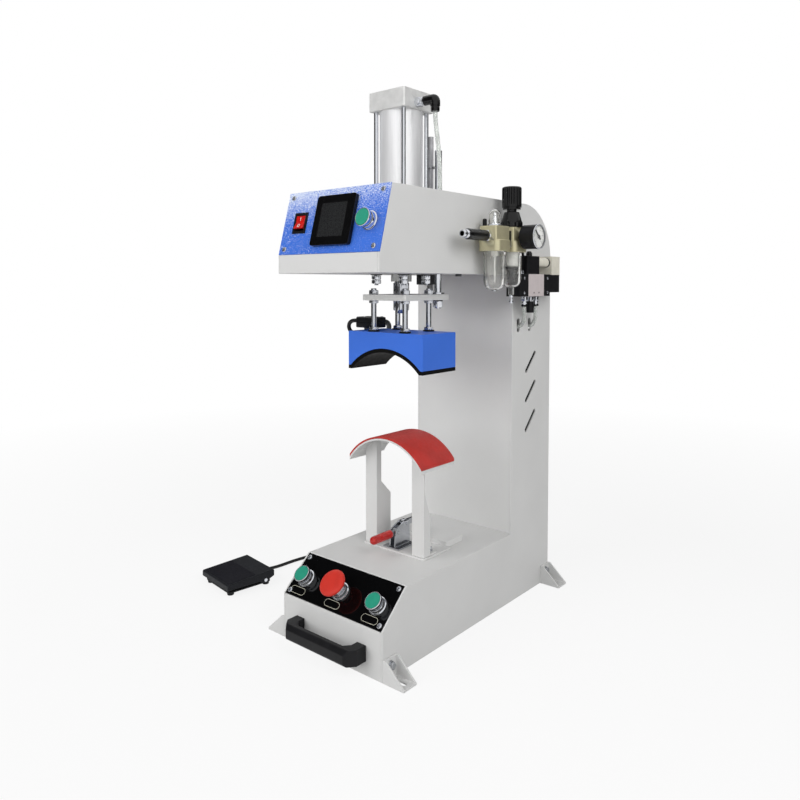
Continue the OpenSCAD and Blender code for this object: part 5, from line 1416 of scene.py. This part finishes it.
class PRESS_OT_fittings(bpy.types.Operator):
    """Elbow, couplers, valve fittings and silencer"""

    bl_idname = "press.fittings"
    bl_label = "Air fittings"

    def execute(self, context):
        bright, dark = [], []
        stub = lathe(ring(0, 5, 29.5, 38), 0.2, 32)
        collar = lathe([(0, 46), (6.9, 46), (6.9, 50.6), (6, 51), (6, 54), (0, 54)],
                       0.3, 48)
        socket = lathe([(0, 43), (5.5, 43), (5.5, 54), (3.6, 54), (3.6, 52), (0, 52)],
                       0.4, 32)
        for port, parts in ((TOP_PORT, (stub, nut(14, 9, 37.5), collar)),
                            (LOW_PORT, (stub, nut(13, 6, 37.5), socket))):
            bright += [aimed(p, port, RIGHT) for p in parts]
        dark += self.top_elbow()
        self.inlet(bright, dark)
        path = rounded([(BRIDGE_X, 66, GAUGE_Z), (BRIDGE_X, 74, GAUGE_Z),
                        (BRIDGE_X, BRIDGE_Y, GAUGE_Z), (BRIDGE_X, BRIDGE_Y, 620),
                        (BRIDGE_X, BRIDGE_Y, 580)], [0, 0, 7, 0, 0], 10)
        dark.append(tube(path, 6.5, 40))
        bright.append(aimed(nut(14, 5, 0), (BRIDGE_X, 69, GAUGE_Z), BACK))
        bright.append(aimed(nut(13, 5, 580), (BRIDGE_X, BRIDGE_Y, 0)))
        release = lathe([(3.6, 524), (5.2, 524), (5.5, 525), (5.5, 527.2),
                         (3.6, 527.2)], 0.4, 40, True)
        barrel = lathe([(3.6, 527.2), (4.5, 527.2), (4.5, 529.4), (5.0, 530),
                        (5.0, 533), (4.5, 534.4), (3.6, 534.4)], 0.3, 40, True)
        for y in PORTS_Y:
            at = (VALVE_MID_X, y, 0)
            dark.append(aimed(release, at))
            bright += [aimed(barrel, at), aimed(nut(11, 8, 534), at)]
        bright.append(aimed(nut(12, 9, 533), SILENCER_AT))
        make_piece("fittings_bright", bright, "stand", "chrome",
                   ("air_fittings",))
        make_piece("fittings_black", dark, "stand", "black_gloss")
        core = lathe([(0, 513), (6.4, 513), (7, 514), (7, 531), (6.2, 533), (0, 533)],
                     1.2, 48, ripple=lambda a, r, h: r - 0.18 * (r > 6) * (
                         np.cos(h * 2 * np.pi / 3.2) > 0.55))
        make_piece("silencer", [aimed(core, SILENCER_AT)], "stand", "black_plastic")
        return {"FINISHED"}

    def top_elbow(self):
        """Moulded elbow at the top port, a bent tube that narrows, with the
        release ring that the hose goes in."""
        x, y, z = 74.0, TOP_PORT[1], TOP_PORT[2]
        path = rounded([(53.5, y, z), (62, y, z), (x, y, z), (x, y, 840), (x, y, 834)],
                       [0, 0, 10, 0, 0], 10)
        size = np.interp(np.linspace(0, 1, len(path)), [0, 0.2, 0.7, 1],
                         [7.5, 7.5, 7.8, 6.6])
        release = lathe([(3.6, 831.5), (6.7, 831.5), (7.0, 834.5), (7.0, 838.5),
                         (3.6, 838.5)], 0.5, 40, True)
        return [tube(path, size, 40), aimed(release, (x, y, 0))]

    def inlet(self, bright, dark):
        """Quick coupler: hex, knurled black sleeve and bright nose. The
        sleeve's radius is less by 0.35 mm times the greater of
        cos(14 a + 1.5 h) and cos(14 a - 1.5 h) where that is positive."""
        at, out = (UNIT_X, LUB_Y - 20, GAUGE_Z), FRONT
        bright.append(aimed(nut(17, 6.6, 0), at, out))
        rows = np.concatenate([[(4.2, 6.6), (6.4, 6.6), (8.2, 9.0), (8.5, 10)],
                               np.column_stack([np.full(66, 8.5),
                                                np.linspace(11, 54, 66)]),
                               [(8.4, 55.5), (7.4, 57.4), (4.2, 57.4)]])

        def knurl(a, r, h):
            cut = np.maximum(np.cos(14 * a + h * 1.5), np.cos(14 * a - h * 1.5))
            inside = (h > 15) & (h < 50) & (r > 8.3)
            groove = 0.5 * (np.abs(h - 12.6) < 0.8)
            return r - inside * 0.35 * np.clip(cut, 0, 1) - groove * (r > 8.3)

        dark.append(aimed(lathe(rows, 0, 112, True, knurl), at, out))
        bright.append(aimed(lathe([(4, 50), (4, 70), (5.0, 70), (6.0, 69),
                                   (6.0, 65.4), (5.0, 65), (5.0, 62.6),
                                   (6.0, 62.2), (6.4, 60.8), (7.0, 60),
                                   (7.0, 57.6), (6.6, 57.2), (5, 57.2),
                                   (5, 50)], 0.25, 56, True), at, out))
        dark.append(aimed(lathe(ring(5.1, 5.9, 62.8, 64.8), 0.3, 48, True), at, out))


class PRESS_OT_head(bpy.types.Operator):
    """Piston rod, head plate, studs, guide rod and stop rod"""

    bl_idname = "press.head"
    bl_label = "Press head"

    def execute(self, context):
        axis = (0, AXIS_Y, 0)
        rod = [lathe([(0, 548), (9, 548), (10, 549.2), (10, 814.2), (0, 814.2)],
                     0.2, 64),
               lathe([(0, 814), (31.3, 814), (31.3, 818), (30, 818.5), (30, 821),
                      (31.3, 821.5), (31.3, 838), (0, 838)], 0.4, 96)]
        make_piece("piston_rod_polished", [aimed(p, axis) for p in rod], "head",
                   "chrome", ("piston_rod",))
        nuts = [nut(24, 19.6, PLATE_TOP), nut(24, 16.6, 519.6),
                threaded(7, 515, 548, 1.75, 0.7, 32)]
        make_piece("rod_nuts", [aimed(p, axis) for p in nuts], "head", "zinc")
        softened("head_plate", 0.0006, "milled_plate", "milled")
        self.studs(context.scene.press_sizes.thread_pitch / MM)
        guide = [lathe([(0, 545), (6, 545), (6, 783.5), (4.8, 785), (0, 785)], 0.3, 64),
                 lathe(ring(0, 11.5, PLATE_TOP, 549), 0.4, 64),
                 lathe([(0, 521.6), (4.4, 521.6), (5, 522.2), (5, 537), (0, 537)],
                       0.2, 40),
                 nut(15, 10.4, 524)]
        make_piece("guide_rod_polished", [aimed(p, GUIDE_AT) for p in guide], "head",
                   "chrome", ("guide_rod",))
        softened("guide_bush", 0.0004, "bronze", "turned")
        stop = [threaded(5.5, 546.3, 810, 1.5, 0.4, 28),
                lathe(ring(0, 7, 757, 761), 0.5, 48),
                lathe(ring(0, 8.5, ARM_TOP, 708), 0.4, 48), nut(15, 5, 708)]
        make_piece("stop_rod_steel", [aimed(p, STOP_AT) for p in stop], "stand",
                   "grey_steel", ("stop_rod",))
        block = slab(32, 16, 1.2, soft_levels(562, ARM_Z, 0.8))
        make_piece("stop_block", [aimed(block, (4, STOP_AT[1], 0))], "stand",
                   "dark_steel")
        return {"FINISHED"}

    def studs(self, pitch):
        """Four studs with nuts above, below and on the platen."""
        stud = [lathe([(0, 465), (4.5, 465), (4.5, 555.2), (3.9, 556), (0, 556)],
                      0.2, 40),
                nut(14, 7, PLATE_TOP), nut(14, 4.8, 531.6), nut(14, 4.8, 487.4),
                threaded(4.62, 493, 498.5, pitch, 0.4, 32)]
        washer = lathe(ring(4.5, 9.5, PLATEN_TOP, 487.4), 0.4, 48, True)
        # The washer under the head plate on the guide rod is black for painted shade
        # there.
        guide_washer = lathe(ring(5, 8, 534.4, PLATE_Z), 0.4, 48, True)
        places = [(i * STUD_X, AXIS_Y + j * STUD_Y, 0) for i, j in CORNERS]
        make_piece("studs_plated", [aimed(p, at) for at in places for p in stud],
                   "head", "zinc", ("platen_studs",))
        make_piece("stud_washers", [*(aimed(washer, at) for at in places),
                                    aimed(guide_washer, GUIDE_AT)],
                   "head", "rubber")


class PRESS_OT_platen(bpy.types.Operator):
    """Heated platen with its liner and connector"""

    bl_idname = "press.platen"
    bl_label = "Platen"

    def execute(self, context):
        softened("platen_housing", 0.0008, "smooth_blue", "painted", 3)
        softened("platen_liner", 0.0005, "liner_black", "moulded")
        refinish("heater_plate", "heater_cast")
        self.plug()
        return {"FINISHED"}

    def plug(self):
        """Two-part connector body with grip ribs, boots at its leads, screws
        and a bright foot."""
        x, y = PLUG_AT[:2]
        body = slab(42, 34, 4, [(1.6, 489), (0.4, 489.6), (0, 491), (0, 497.4),
                                (0.5, 497.7), (0.5, 498.3), (0, 498.6), (0, 504),
                                (0.5, 506), (2.2, 507)])
        rib = slab(1.4, 30, 0.6, soft_levels(490.6, 507.4, 0.5, 2))
        parts = [aimed(body, PLUG_AT)]
        parts += [aimed(rib, (-85.4 + 3.2 * k, y, 0)) for k in range(5)]
        parts += [aimed(lathe(boot, 0.4, 40, True), at, out) for boot, at, out in (
            ([(3.6, 0), (6.4, 0), (6.0, 4), (4.9, 9), (4.2, 10), (3.6, 10)],
             (-86.4, -74, 498), (-1, 0.05, 0.1)),
            ([(4.6, 0), (7.2, 0), (6.8, 4), (5.9, 8), (5.3, 9), (4.6, 9)],
             (-66, -57.4, 498), BACK),
            ([(3.6, 0), (6.0, 0), (5.6, 2.2), (4.4, 3.2), (3.6, 3.2)],
             (-79, -65, 473.4), (-1, 0, 0)))]
        make_piece("heater_connector", parts, "head", "black_plastic",
                   ("heater_plug",))
        screws = [aimed(pan_head(2.4, 1.3, 0.35), (x + i, y + j, 506.8))
                  for i in (-4, 15) for j in (-11, 11)]
        make_piece("connector_screws", screws, "head", "zinc", sharp=50)
        foot = slab(20, 14, 1, soft_levels(PLATEN_TOP, 489.2, 0.4, 2))
        make_piece("connector_foot", [aimed(foot, PLUG_AT)], "head", "zinc")


class PRESS_OT_form(bpy.types.Operator):
    """Padded form and its toggle clamp"""

    bl_idname = "press.form"
    bl_label = "Form and clamp"

    def execute(self, context):
        make_piece("form_pad_sheet", [self.pad()], "stand", "red_silicone",
                   ("form_pad",), sharp=60)
        for node in ("clamp_frame", "clamp_lever", "clamp_arm"):
            softened(node, 0.0005, "zinc", "plated")
        make_piece("clamp_grip_dipped", [self.grip()], "lever", "dipped_red",
                   ("clamp_grip",), sharp=60)
        return {"FINISHED"}

    def pad(self):
        """Bent sheet with a rounded section: at share t of the half width w
        and section point (y, r) it is (w t, y, centre + sqrt(r^2 - (w t)^2))."""
        n = 65
        section = rounded([(-115.5, 94.6), (-28.5, 94.6), (-28.5, 97.6),
                           (-115.5, 97.6)], 1.1, 4, True)
        t = np.sin(np.linspace(-np.pi / 2, np.pi / 2, n))[:, None]
        x = FORM_HALF * t + 0 * section[None, :, 0]
        z = FORM_CZ + np.sqrt(section[None, :, 1] ** 2 - x ** 2)
        grid = np.stack([x, section[None, :, 0] + 0 * t, z], -1)
        m = len(section)
        ends = [list(range(m)), list(range((n - 1) * m, n * m))]
        return grid.reshape(-1, 3), grid_faces(n, m, False, True), ends

    def grip(self):
        """Dipped sleeve: radius 7 mm with a soft swell, a round end and a
        shallow step where the bar goes in, laid along -Y."""
        profile = [(0, 54), (3.6, 53.4), (6.4, 50.4), (7.0, 46), (6.85, 34),
                   (6.95, 20), (7.0, 9.4), (6.6, 7.0), (5.4, 6.2), (0, 6.2)]
        return aimed(lathe(profile, [0, 2, 3, 4, 6, 6, 2, 1, 0.6, 0], 64,
                           steps=6), (-6, -86, 150), FRONT)


class PRESS_OT_air_unit(bpy.types.Operator):
    """Air treatment unit with bowls, regulator and gauge"""

    bl_idname = "press.air_unit"
    bl_label = "Air unit"

    def execute(self, context):
        sizes = context.scene.press_sizes
        near, far, bonnet = 18.2, 28.8, 655.1

        def pick(c):
            joint = (c[:, 1] > near) & (c[:, 1] < far)
            return np.where(c[:, 2] > bonnet, 1, np.where(joint, 2, 0))

        softened("frl_bodies", sizes.cast_edge, "champagne_cast", "cast", 3,
                 pick, ("black_gloss", "zinc"), cuts=((1, near), (1, far), (2, bonnet)))
        self.bowls(sizes)
        self.knob(sizes)
        self.gauge(sizes)
        return {"FINISHED"}

    def bowls(self, sizes):
        """Clear bowls with ten flutes outside, the sight dome, and the cores,
        baffle, rings and drains that show through them."""
        wall = sizes.bowl_wall / MM

        def flutes(a, r, h):
            low = np.clip((-h - 6) / 8, 0, 1) * np.clip((h + 58) / 6, 0, 1)
            return r - 0.45 * low * (1 - np.cos(10 * a)) * (r > 15.6)

        clear = []
        for at, r, depth in ((LUB_UNDER, 18.3, 62.0), (REG_UNDER, 17.3, 58.0)):
            outer = [(r, 0), (r + 0.2, -3.0), (r, -5.5), (r - 0.6, -7),
                     (r - 0.8, -depth + 16), (r - 2.2, -depth + 8),
                     (r - 6.5, -depth + 2), (5.5, -depth), (0, -depth)]
            inner = [(0, -depth + wall), (5.5, -depth + wall),
                     (r - 7.8, -depth + wall + 2.6),
                     (r - wall - 2.6, -depth + 9), (r - wall - 1, -depth + 17),
                     (r - wall - 0.8, -1), (r - wall, 0)]
            clear.append(aimed(lathe(outer + inner, [0] + [1.2] * 7 + [0, 0]
                                     + [1.2] * 5 + [0], 96, True, flutes), at))
        dome = [(10, 0), (10, 17), (9.6, 20), (8.2, 23), (5.6, 25.6), (2.6, 26.8),
                (0, 27), (0, 25.4), (2.4, 25.2), (5, 24), (7.2, 21.6), (8.4, 18.6),
                (8.5, 16), (8.5, 0)]
        soft = [0, 1, 1.5, 1.5, 1.5, 1.5, 0, 0, 1.5, 1.5, 1.5, 1.5, 1, 0]
        clear += [aimed(lathe(dome, soft, 64, True), LUB_OVER),
                  aimed(lathe(ring(0, 4.5, -70, -58.2), 0.5, 40), REG_UNDER)]
        make_piece("bowls_clear", clear, "stand", "clear_bowl",
                   ("frl_bowls",), sharp=50)
        cores = [aimed(lathe([(0, 0), (11.5, 0), (11.5, -22), (9, -24), (0, -24)],
                             0.8, 48), REG_UNDER),
                 aimed(lathe([(0, 0), (6, 0), (6, -6), (2.2, -9), (2.2, -50),
                              (0, -50)], 0.6, 40), LUB_UNDER)]
        make_piece("bowl_cores", cores, "stand", "dial_white")
        vanes = lathe([(0, -24), (13, -24), (13.6, -26.4), (5, -30), (5, -44), (0, -44)],
                      0.6, 48, ripple=lambda a, r, h: r - 0.7 * (r > 9) * (
                          np.cos(12 * a) > 0))
        plug = lathe([(0, 0), (3.5, 0), (3.5, 10), (2.8, 12), (0, 12)], 0.5, 40)
        baffle = [aimed(vanes, REG_UNDER),
                  aimed(plug, (UNIT_X - 13.6, LUB_Y - 8, UNIT_TOP))]
        make_piece("bowl_baffle", baffle, "stand", "black_plastic")
        rings = [aimed(lathe([(9.9, 0), (11.4, 0), (11.4, 2.4), (10.4, 3.4),
                              (9.9, 3.4)], 0.4, 56, True), LUB_OVER),
                 aimed(lathe([(0, 0), (6, 0), (6, 5), (3.5, 6), (3.5, 15), (1.6, 18),
                              (1.6, 22), (0, 22)], 0.5, 40), LUB_OVER),
                 aimed(lathe([(0, -84), (2.4, -84), (3.5, -82.6), (3.5, -79),
                              (2.2, -77), (2.2, -74), (3.4, -72.4), (3.4, -70),
                              (0, -70)], 0.5, 40), REG_UNDER),
                 aimed(lathe(ring(0, 3.4, -63.5, -61.6), 0.4, 40), LUB_UNDER)]
        make_piece("bowl_rings", rings, "stand", "chrome")

    def knob(self, sizes):
        """Regulator knob: radius 16 mm less 0.9 mm times the square of
        cos(ribs a) where that is positive, with a plain collar and a rounded
        top, over a ring with sixteen lobes."""
        ribs = sizes.knob_ribs
        rows = [(0, 0), (8.1, 0), (14.5, 0), (14.5, 3), (16, 3.6), (16, 6),
                *[(16, h) for h in np.linspace(7, 33, 14)], (15.9, 34.6),
                (15.2, 36.2), (13.8, 37.0), (11, 36.7), (0, 36.4)]

        def grip(a, r, h):
            part = np.clip((h - 6) / 2, 0, 1) * np.clip((37 - h) / 2.4, 0, 1)
            groove = np.clip(np.cos(ribs * a), 0, 1) ** 2
            return r - 0.9 * groove * part * (r > 13)

        body = lathe(rows, 0, ribs * 10, False, grip)
        make_piece("regulator_knob_grip", [aimed(body, (UNIT_X, REG_Y, KNOB_Z))],
                   "knob", "black_gloss", ("regulator_knob",), sharp=45)
        lobes = lathe(ring(12, 17.6, 656, 664), 0.6, 192, True,
                      ripple=lambda a, r, h: r + 0.5 * (r > 15) * np.cos(16 * a))
        make_piece("bonnet_ring", [aimed(lobes, (UNIT_X, REG_Y, 0))], "stand",
                   "black_gloss")

    def gauge(self, sizes):
        """Black case, white dial with marks and numbers, rim and window."""
        def laid(part):
            return aimed(part, (155.5, REG_Y, GAUGE_Z), RIGHT, BACK)

        face, ink = 29.55, 29.6
        case = lathe([(0, -4), (5, -4), (5, 4.6), (8, 5), (19.0, 5), (19.5, 5.6),
                      (19.5, 27.4), (20, 27.8), (20, 31.0), (18.2, 31.0), (18.2, 29.4),
                      (0, 29.4)], 0.6, 96)
        rim = lathe([(18.2, 31.0), (20, 31.0), (20, 32.0), (19.2, 32.6), (18.2, 32.3)],
                    0.4, 96, True)
        dial = lathe(ring(0, 18.1, 29.4, face), 0, 96)
        make_piece("gauge_case", [laid(case)], "stand", "black_plastic",
                   ("pressure_gauge",))
        make_piece("gauge_rim", [laid(rim)], "stand", "chrome")
        make_piece("gauge_dial", [laid(dial)], "stand", "dial_white")
        marks = []
        steps = (sizes.dial_marks - 1) * 5
        for k in range(steps + 1):
            a = math.radians(DIAL_START - DIAL_SWEEP * k / steps)
            long, wide, at = (1.4, 0.25, 16.2) if k % 5 else (2.6, 0.55, 15.6)
            points, quads, ends = slab(long, wide, 0.05, [(0, face), (0, ink)])
            points[:, 0] += at
            points[:, :2] = points[:, :2] @ np.array([[math.cos(a), math.sin(a)],
                                                      [-math.sin(a), math.cos(a)]])
            marks.append(laid((points, quads, ends)))
        marks.append(laid(arc_band(17.5, 0.35, math.radians(DIAL_START - DIAL_SWEEP),
                                   math.radians(DIAL_START), face, ink, 96)))
        make_piece("gauge_marks", marks, "stand", "print_black")
        make_piece("gauge_numbers", [laid(p) for p in self.numbers()], "stand",
                   "print_black")
        window = lathe(ring(0, 18.2, 31.2, 31.9), 0.1, 96)
        make_piece("gauge_window", [laid(window)], "stand", "gauge_glass")
        softened("gauge_needle", 0.0, "print_black", "print")

    def numbers(self):
        """The numbers 0, 2 ... 10 round the dial, as flat meshes."""
        reach, height = 11.4, 29.58
        for k in range(6):
            a = math.radians(DIAL_START - DIAL_SWEEP * k / 5)
            curve = bpy.data.curves.new("number", "FONT")
            curve.body = str(2 * k)
            curve.size = 3.4
            curve.align_x = "CENTER"
            curve.align_y = "CENTER"
            curve.extrude = 0.02
            text = bpy.data.objects.new("number", curve)
            bpy.context.scene.collection.objects.link(text)
            bpy.context.view_layer.update()
            mesh = text.to_mesh()
            co = np.zeros(len(mesh.vertices) * 3)
            mesh.vertices.foreach_get("co", co)
            co = co.reshape(-1, 3) + (reach * math.cos(a), reach * math.sin(a), height)
            faces = [list(p.vertices) for p in mesh.polygons]
            text.to_mesh_clear()
            bpy.data.objects.remove(text)
            bpy.data.curves.remove(curve)
            yield co, np.zeros((0, 4), int), faces


class PRESS_OT_valve(bpy.types.Operator):
    """Air valve with its coil, connector and pilot"""

    bl_idname = "press.valve"
    bl_label = "Valve"

    def execute(self, context):
        softened("valve_body", 0.0005, "valve_silver", "cast")
        near, far, pilot_z, box_z = 176, 180, 591.5, 579.05

        def pick(c):
            tube_part = (c[:, 1] > 136.1) & (c[:, 1] < near) & (c[:, 2] > pilot_z)
            box = (c[:, 1] > far - 0.1) & (c[:, 2] > box_z)
            return np.where(tube_part | box, 1, 0)

        softened("valve_pilot", 0.0005, "black_plastic", "moulded", 3,
                 pick, ("pale_plastic",),
                 cuts=((1, near), (1, far), (2, box_z), (2, pilot_z)))
        seam = slab(27.6, 0.8, 0.2, [(0, 542.4), (0, 579.6)])
        # Dark discs a little inside the valve's face: painted shade in its two bores. The
        # seams are dark joints.
        bore_shade = lathe(ring(0, 1.6, 25.4, 26.4), 0.1, 24)
        low, high = (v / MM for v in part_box("valve_body"))
        dark = [aimed(seam, (VALVE_MID_X, y, 0)) for y in (90, 159)]
        dark += [aimed(bore_shade, (VALVE_X, VALVE_Y + share * (high - low)[1], VALVE_Z + 6),
                       RIGHT) for share in (0.36, 0.68)]
        make_piece("valve_seams_and_bore_shade", dark, "stand", "rubber")
        screws = [aimed(pan_head(2.2, 1.2, 0.35), (140, y, z), RIGHT, (0, 1, 0.4))
                  for y in (84, 163) for z in (548, 573)]
        screws.append(aimed(pan_head(3.0, 2.0, 0.4), (VALVE_MID_X, 106, 610.8)))
        make_piece("valve_screws", screws, "stand", "zinc", sharp=50)
        knob = lathe([(0, 0), (6.5, 0), (6.5, 3.2), (5.6, 4.4), (0, 4.4)], 0.6, 48,
                     ripple=lambda a, r, h: r - 0.3 * (r > 5) * (np.cos(18 * a) > 0))
        make_piece("coil_nut", [aimed(knob, (VALVE_MID_X, 208.8, 560), BACK)], "stand",
                   "stop_red")
        gland = lathe([(0, 0), (5.2, 0), (5.2, 5), (3.4, 9), (0, 9)], 0.6, 40)
        make_piece("connector_gland", [aimed(gland, (VALVE_MID_X, 122, 610.6))],
                   "stand", "black_gloss")
        return {"FINISHED"}


class PRESS_OT_pedal(bpy.types.Operator):
    """Foot pedal"""

    bl_idname = "press.pedal"
    bl_label = "Foot pedal"

    def execute(self, context):
        edge = context.scene.press_sizes.pedal_edge
        softened("pedal_base", 0.0005, "black_plastic", "painted")
        softened("pedal_treadle", edge, "treadle_black", "painted", 3)
        refinish("pedal_switch", "black_plastic")
        # A thin ribbed sheet, darker than the treadle, over the front of its top.
        points, quads, ends = slab(92, 56, 2.5, soft_levels(0, 0.7, 0.35, 2))
        # The treadle's top is 23 mm high in front and rises by 5 mm over 93 mm
        points[:, 1] -= 17.5
        points[:, 2] += 23 + (points[:, 1] + 46.5) * 5 / 93
        make_piece("treadle_front_sheet", [on_pedal((points, quads, ends))], "treadle",
                   "dark_ribbed")
        pin = lathe([(0, -0.2), (3.4, -0.2), (3.4, 0.6), (2.6, 1.2), (0, 1.2)], 0.3, 32)
        pins = [on_pedal(aimed(pin, (i * 49, 30, 12), (i, 0, 0))) for i in SIDES]
        make_piece("treadle_pins", pins, "stand", "chrome")
        return {"FINISHED"}


class PRESS_OT_rear(bpy.types.Operator):
    """Mains inlet and cord gland on the back, and a dark sheet behind the louvres, painted
    shade in them
    """

    bl_idname = "press.rear"
    bl_label = "Rear sockets"

    def execute(self, context):
        softened("rear_sockets", 0.0005, "black_plastic", "moulded")
        x, y, z = INLET_AT
        pin = slab(1.8, 4.2, 0.5, [(0.3, 0), (0, 0.4), (0, 12), (0.4, 13)])
        pins = [aimed(pin, (x + i, y - 14.8, z + k), BACK, RIGHT)
                for i, k in ((-7, -1.6), (0, 2.4), (7, -1.6))]
        make_piece("inlet_pins", pins, "stand", "chrome")
        screws = [aimed(pan_head(2.8, 1.4, 0.4), (x + i, y, z), BACK, (1, 0, 0.3))
                  for i in (-20.4, 20.4)]
        make_piece("inlet_screws", screws, "stand", "zinc", sharp=50)
        # A dark sheet behind the right plate's louvres: painted shade in them.
        shade_sheet = slab(166, 56, 3, soft_levels(0, 0.5, 0.1))
        make_piece("louvre_shade_sheet", [aimed(shade_sheet, (101.4, 168, 368.5), RIGHT, (0, 0, 1))],
                   "stand", "black_plastic")
        return {"FINISHED"}


class PRESS_PT_panel(bpy.types.Panel):
    """Sizes, colours and builders of the cap heat press"""

    bl_idname = "PRESS_PT_panel"
    bl_label = "Cap heat press"
    bl_space_type = "VIEW_3D"
    bl_region_type = "UI"
    bl_category = "Cap press"

    def draw(self, context):
        column = self.layout.column()
        for group in (context.scene.press_sizes, context.scene.press_colours):
            for key in group.bl_rna.properties.keys():
                if key not in ("rna_type", "name"):
                    column.prop(group, key)
        for operator in OPERATORS:
            column.operator(operator.bl_idname)


OPERATORS = (PRESS_OT_stage, PRESS_OT_cords, PRESS_OT_stand, PRESS_OT_fasteners,
             PRESS_OT_panels, PRESS_OT_buttons, PRESS_OT_switches, PRESS_OT_handle,
             PRESS_OT_cylinder, PRESS_OT_fittings, PRESS_OT_head, PRESS_OT_platen,
             PRESS_OT_form, PRESS_OT_air_unit, PRESS_OT_valve, PRESS_OT_pedal,
             PRESS_OT_rear)
CLASSES = (PressSizes, PressColours, *OPERATORS, PRESS_PT_panel)


def register():
    """Registers the classes and the two groups of settings."""
    for each in CLASSES:
        bpy.utils.register_class(each)
    bpy.types.Scene.press_sizes = bpy.props.PointerProperty(type=PressSizes)
    bpy.types.Scene.press_colours = bpy.props.PointerProperty(type=PressColours)


def unregister():
    """Takes the settings and the classes away again."""
    del bpy.types.Scene.press_colours
    del bpy.types.Scene.press_sizes
    for each in reversed(CLASSES):
        bpy.utils.unregister_class(each)


def main():
    """Builds the stage and every piece."""
    register()
    for operator in OPERATORS:
        getattr(bpy.ops.press, operator.bl_idname.split(".")[1])()
    bpy.context.view_layer.update()


if __name__ == "__main__":
    main()
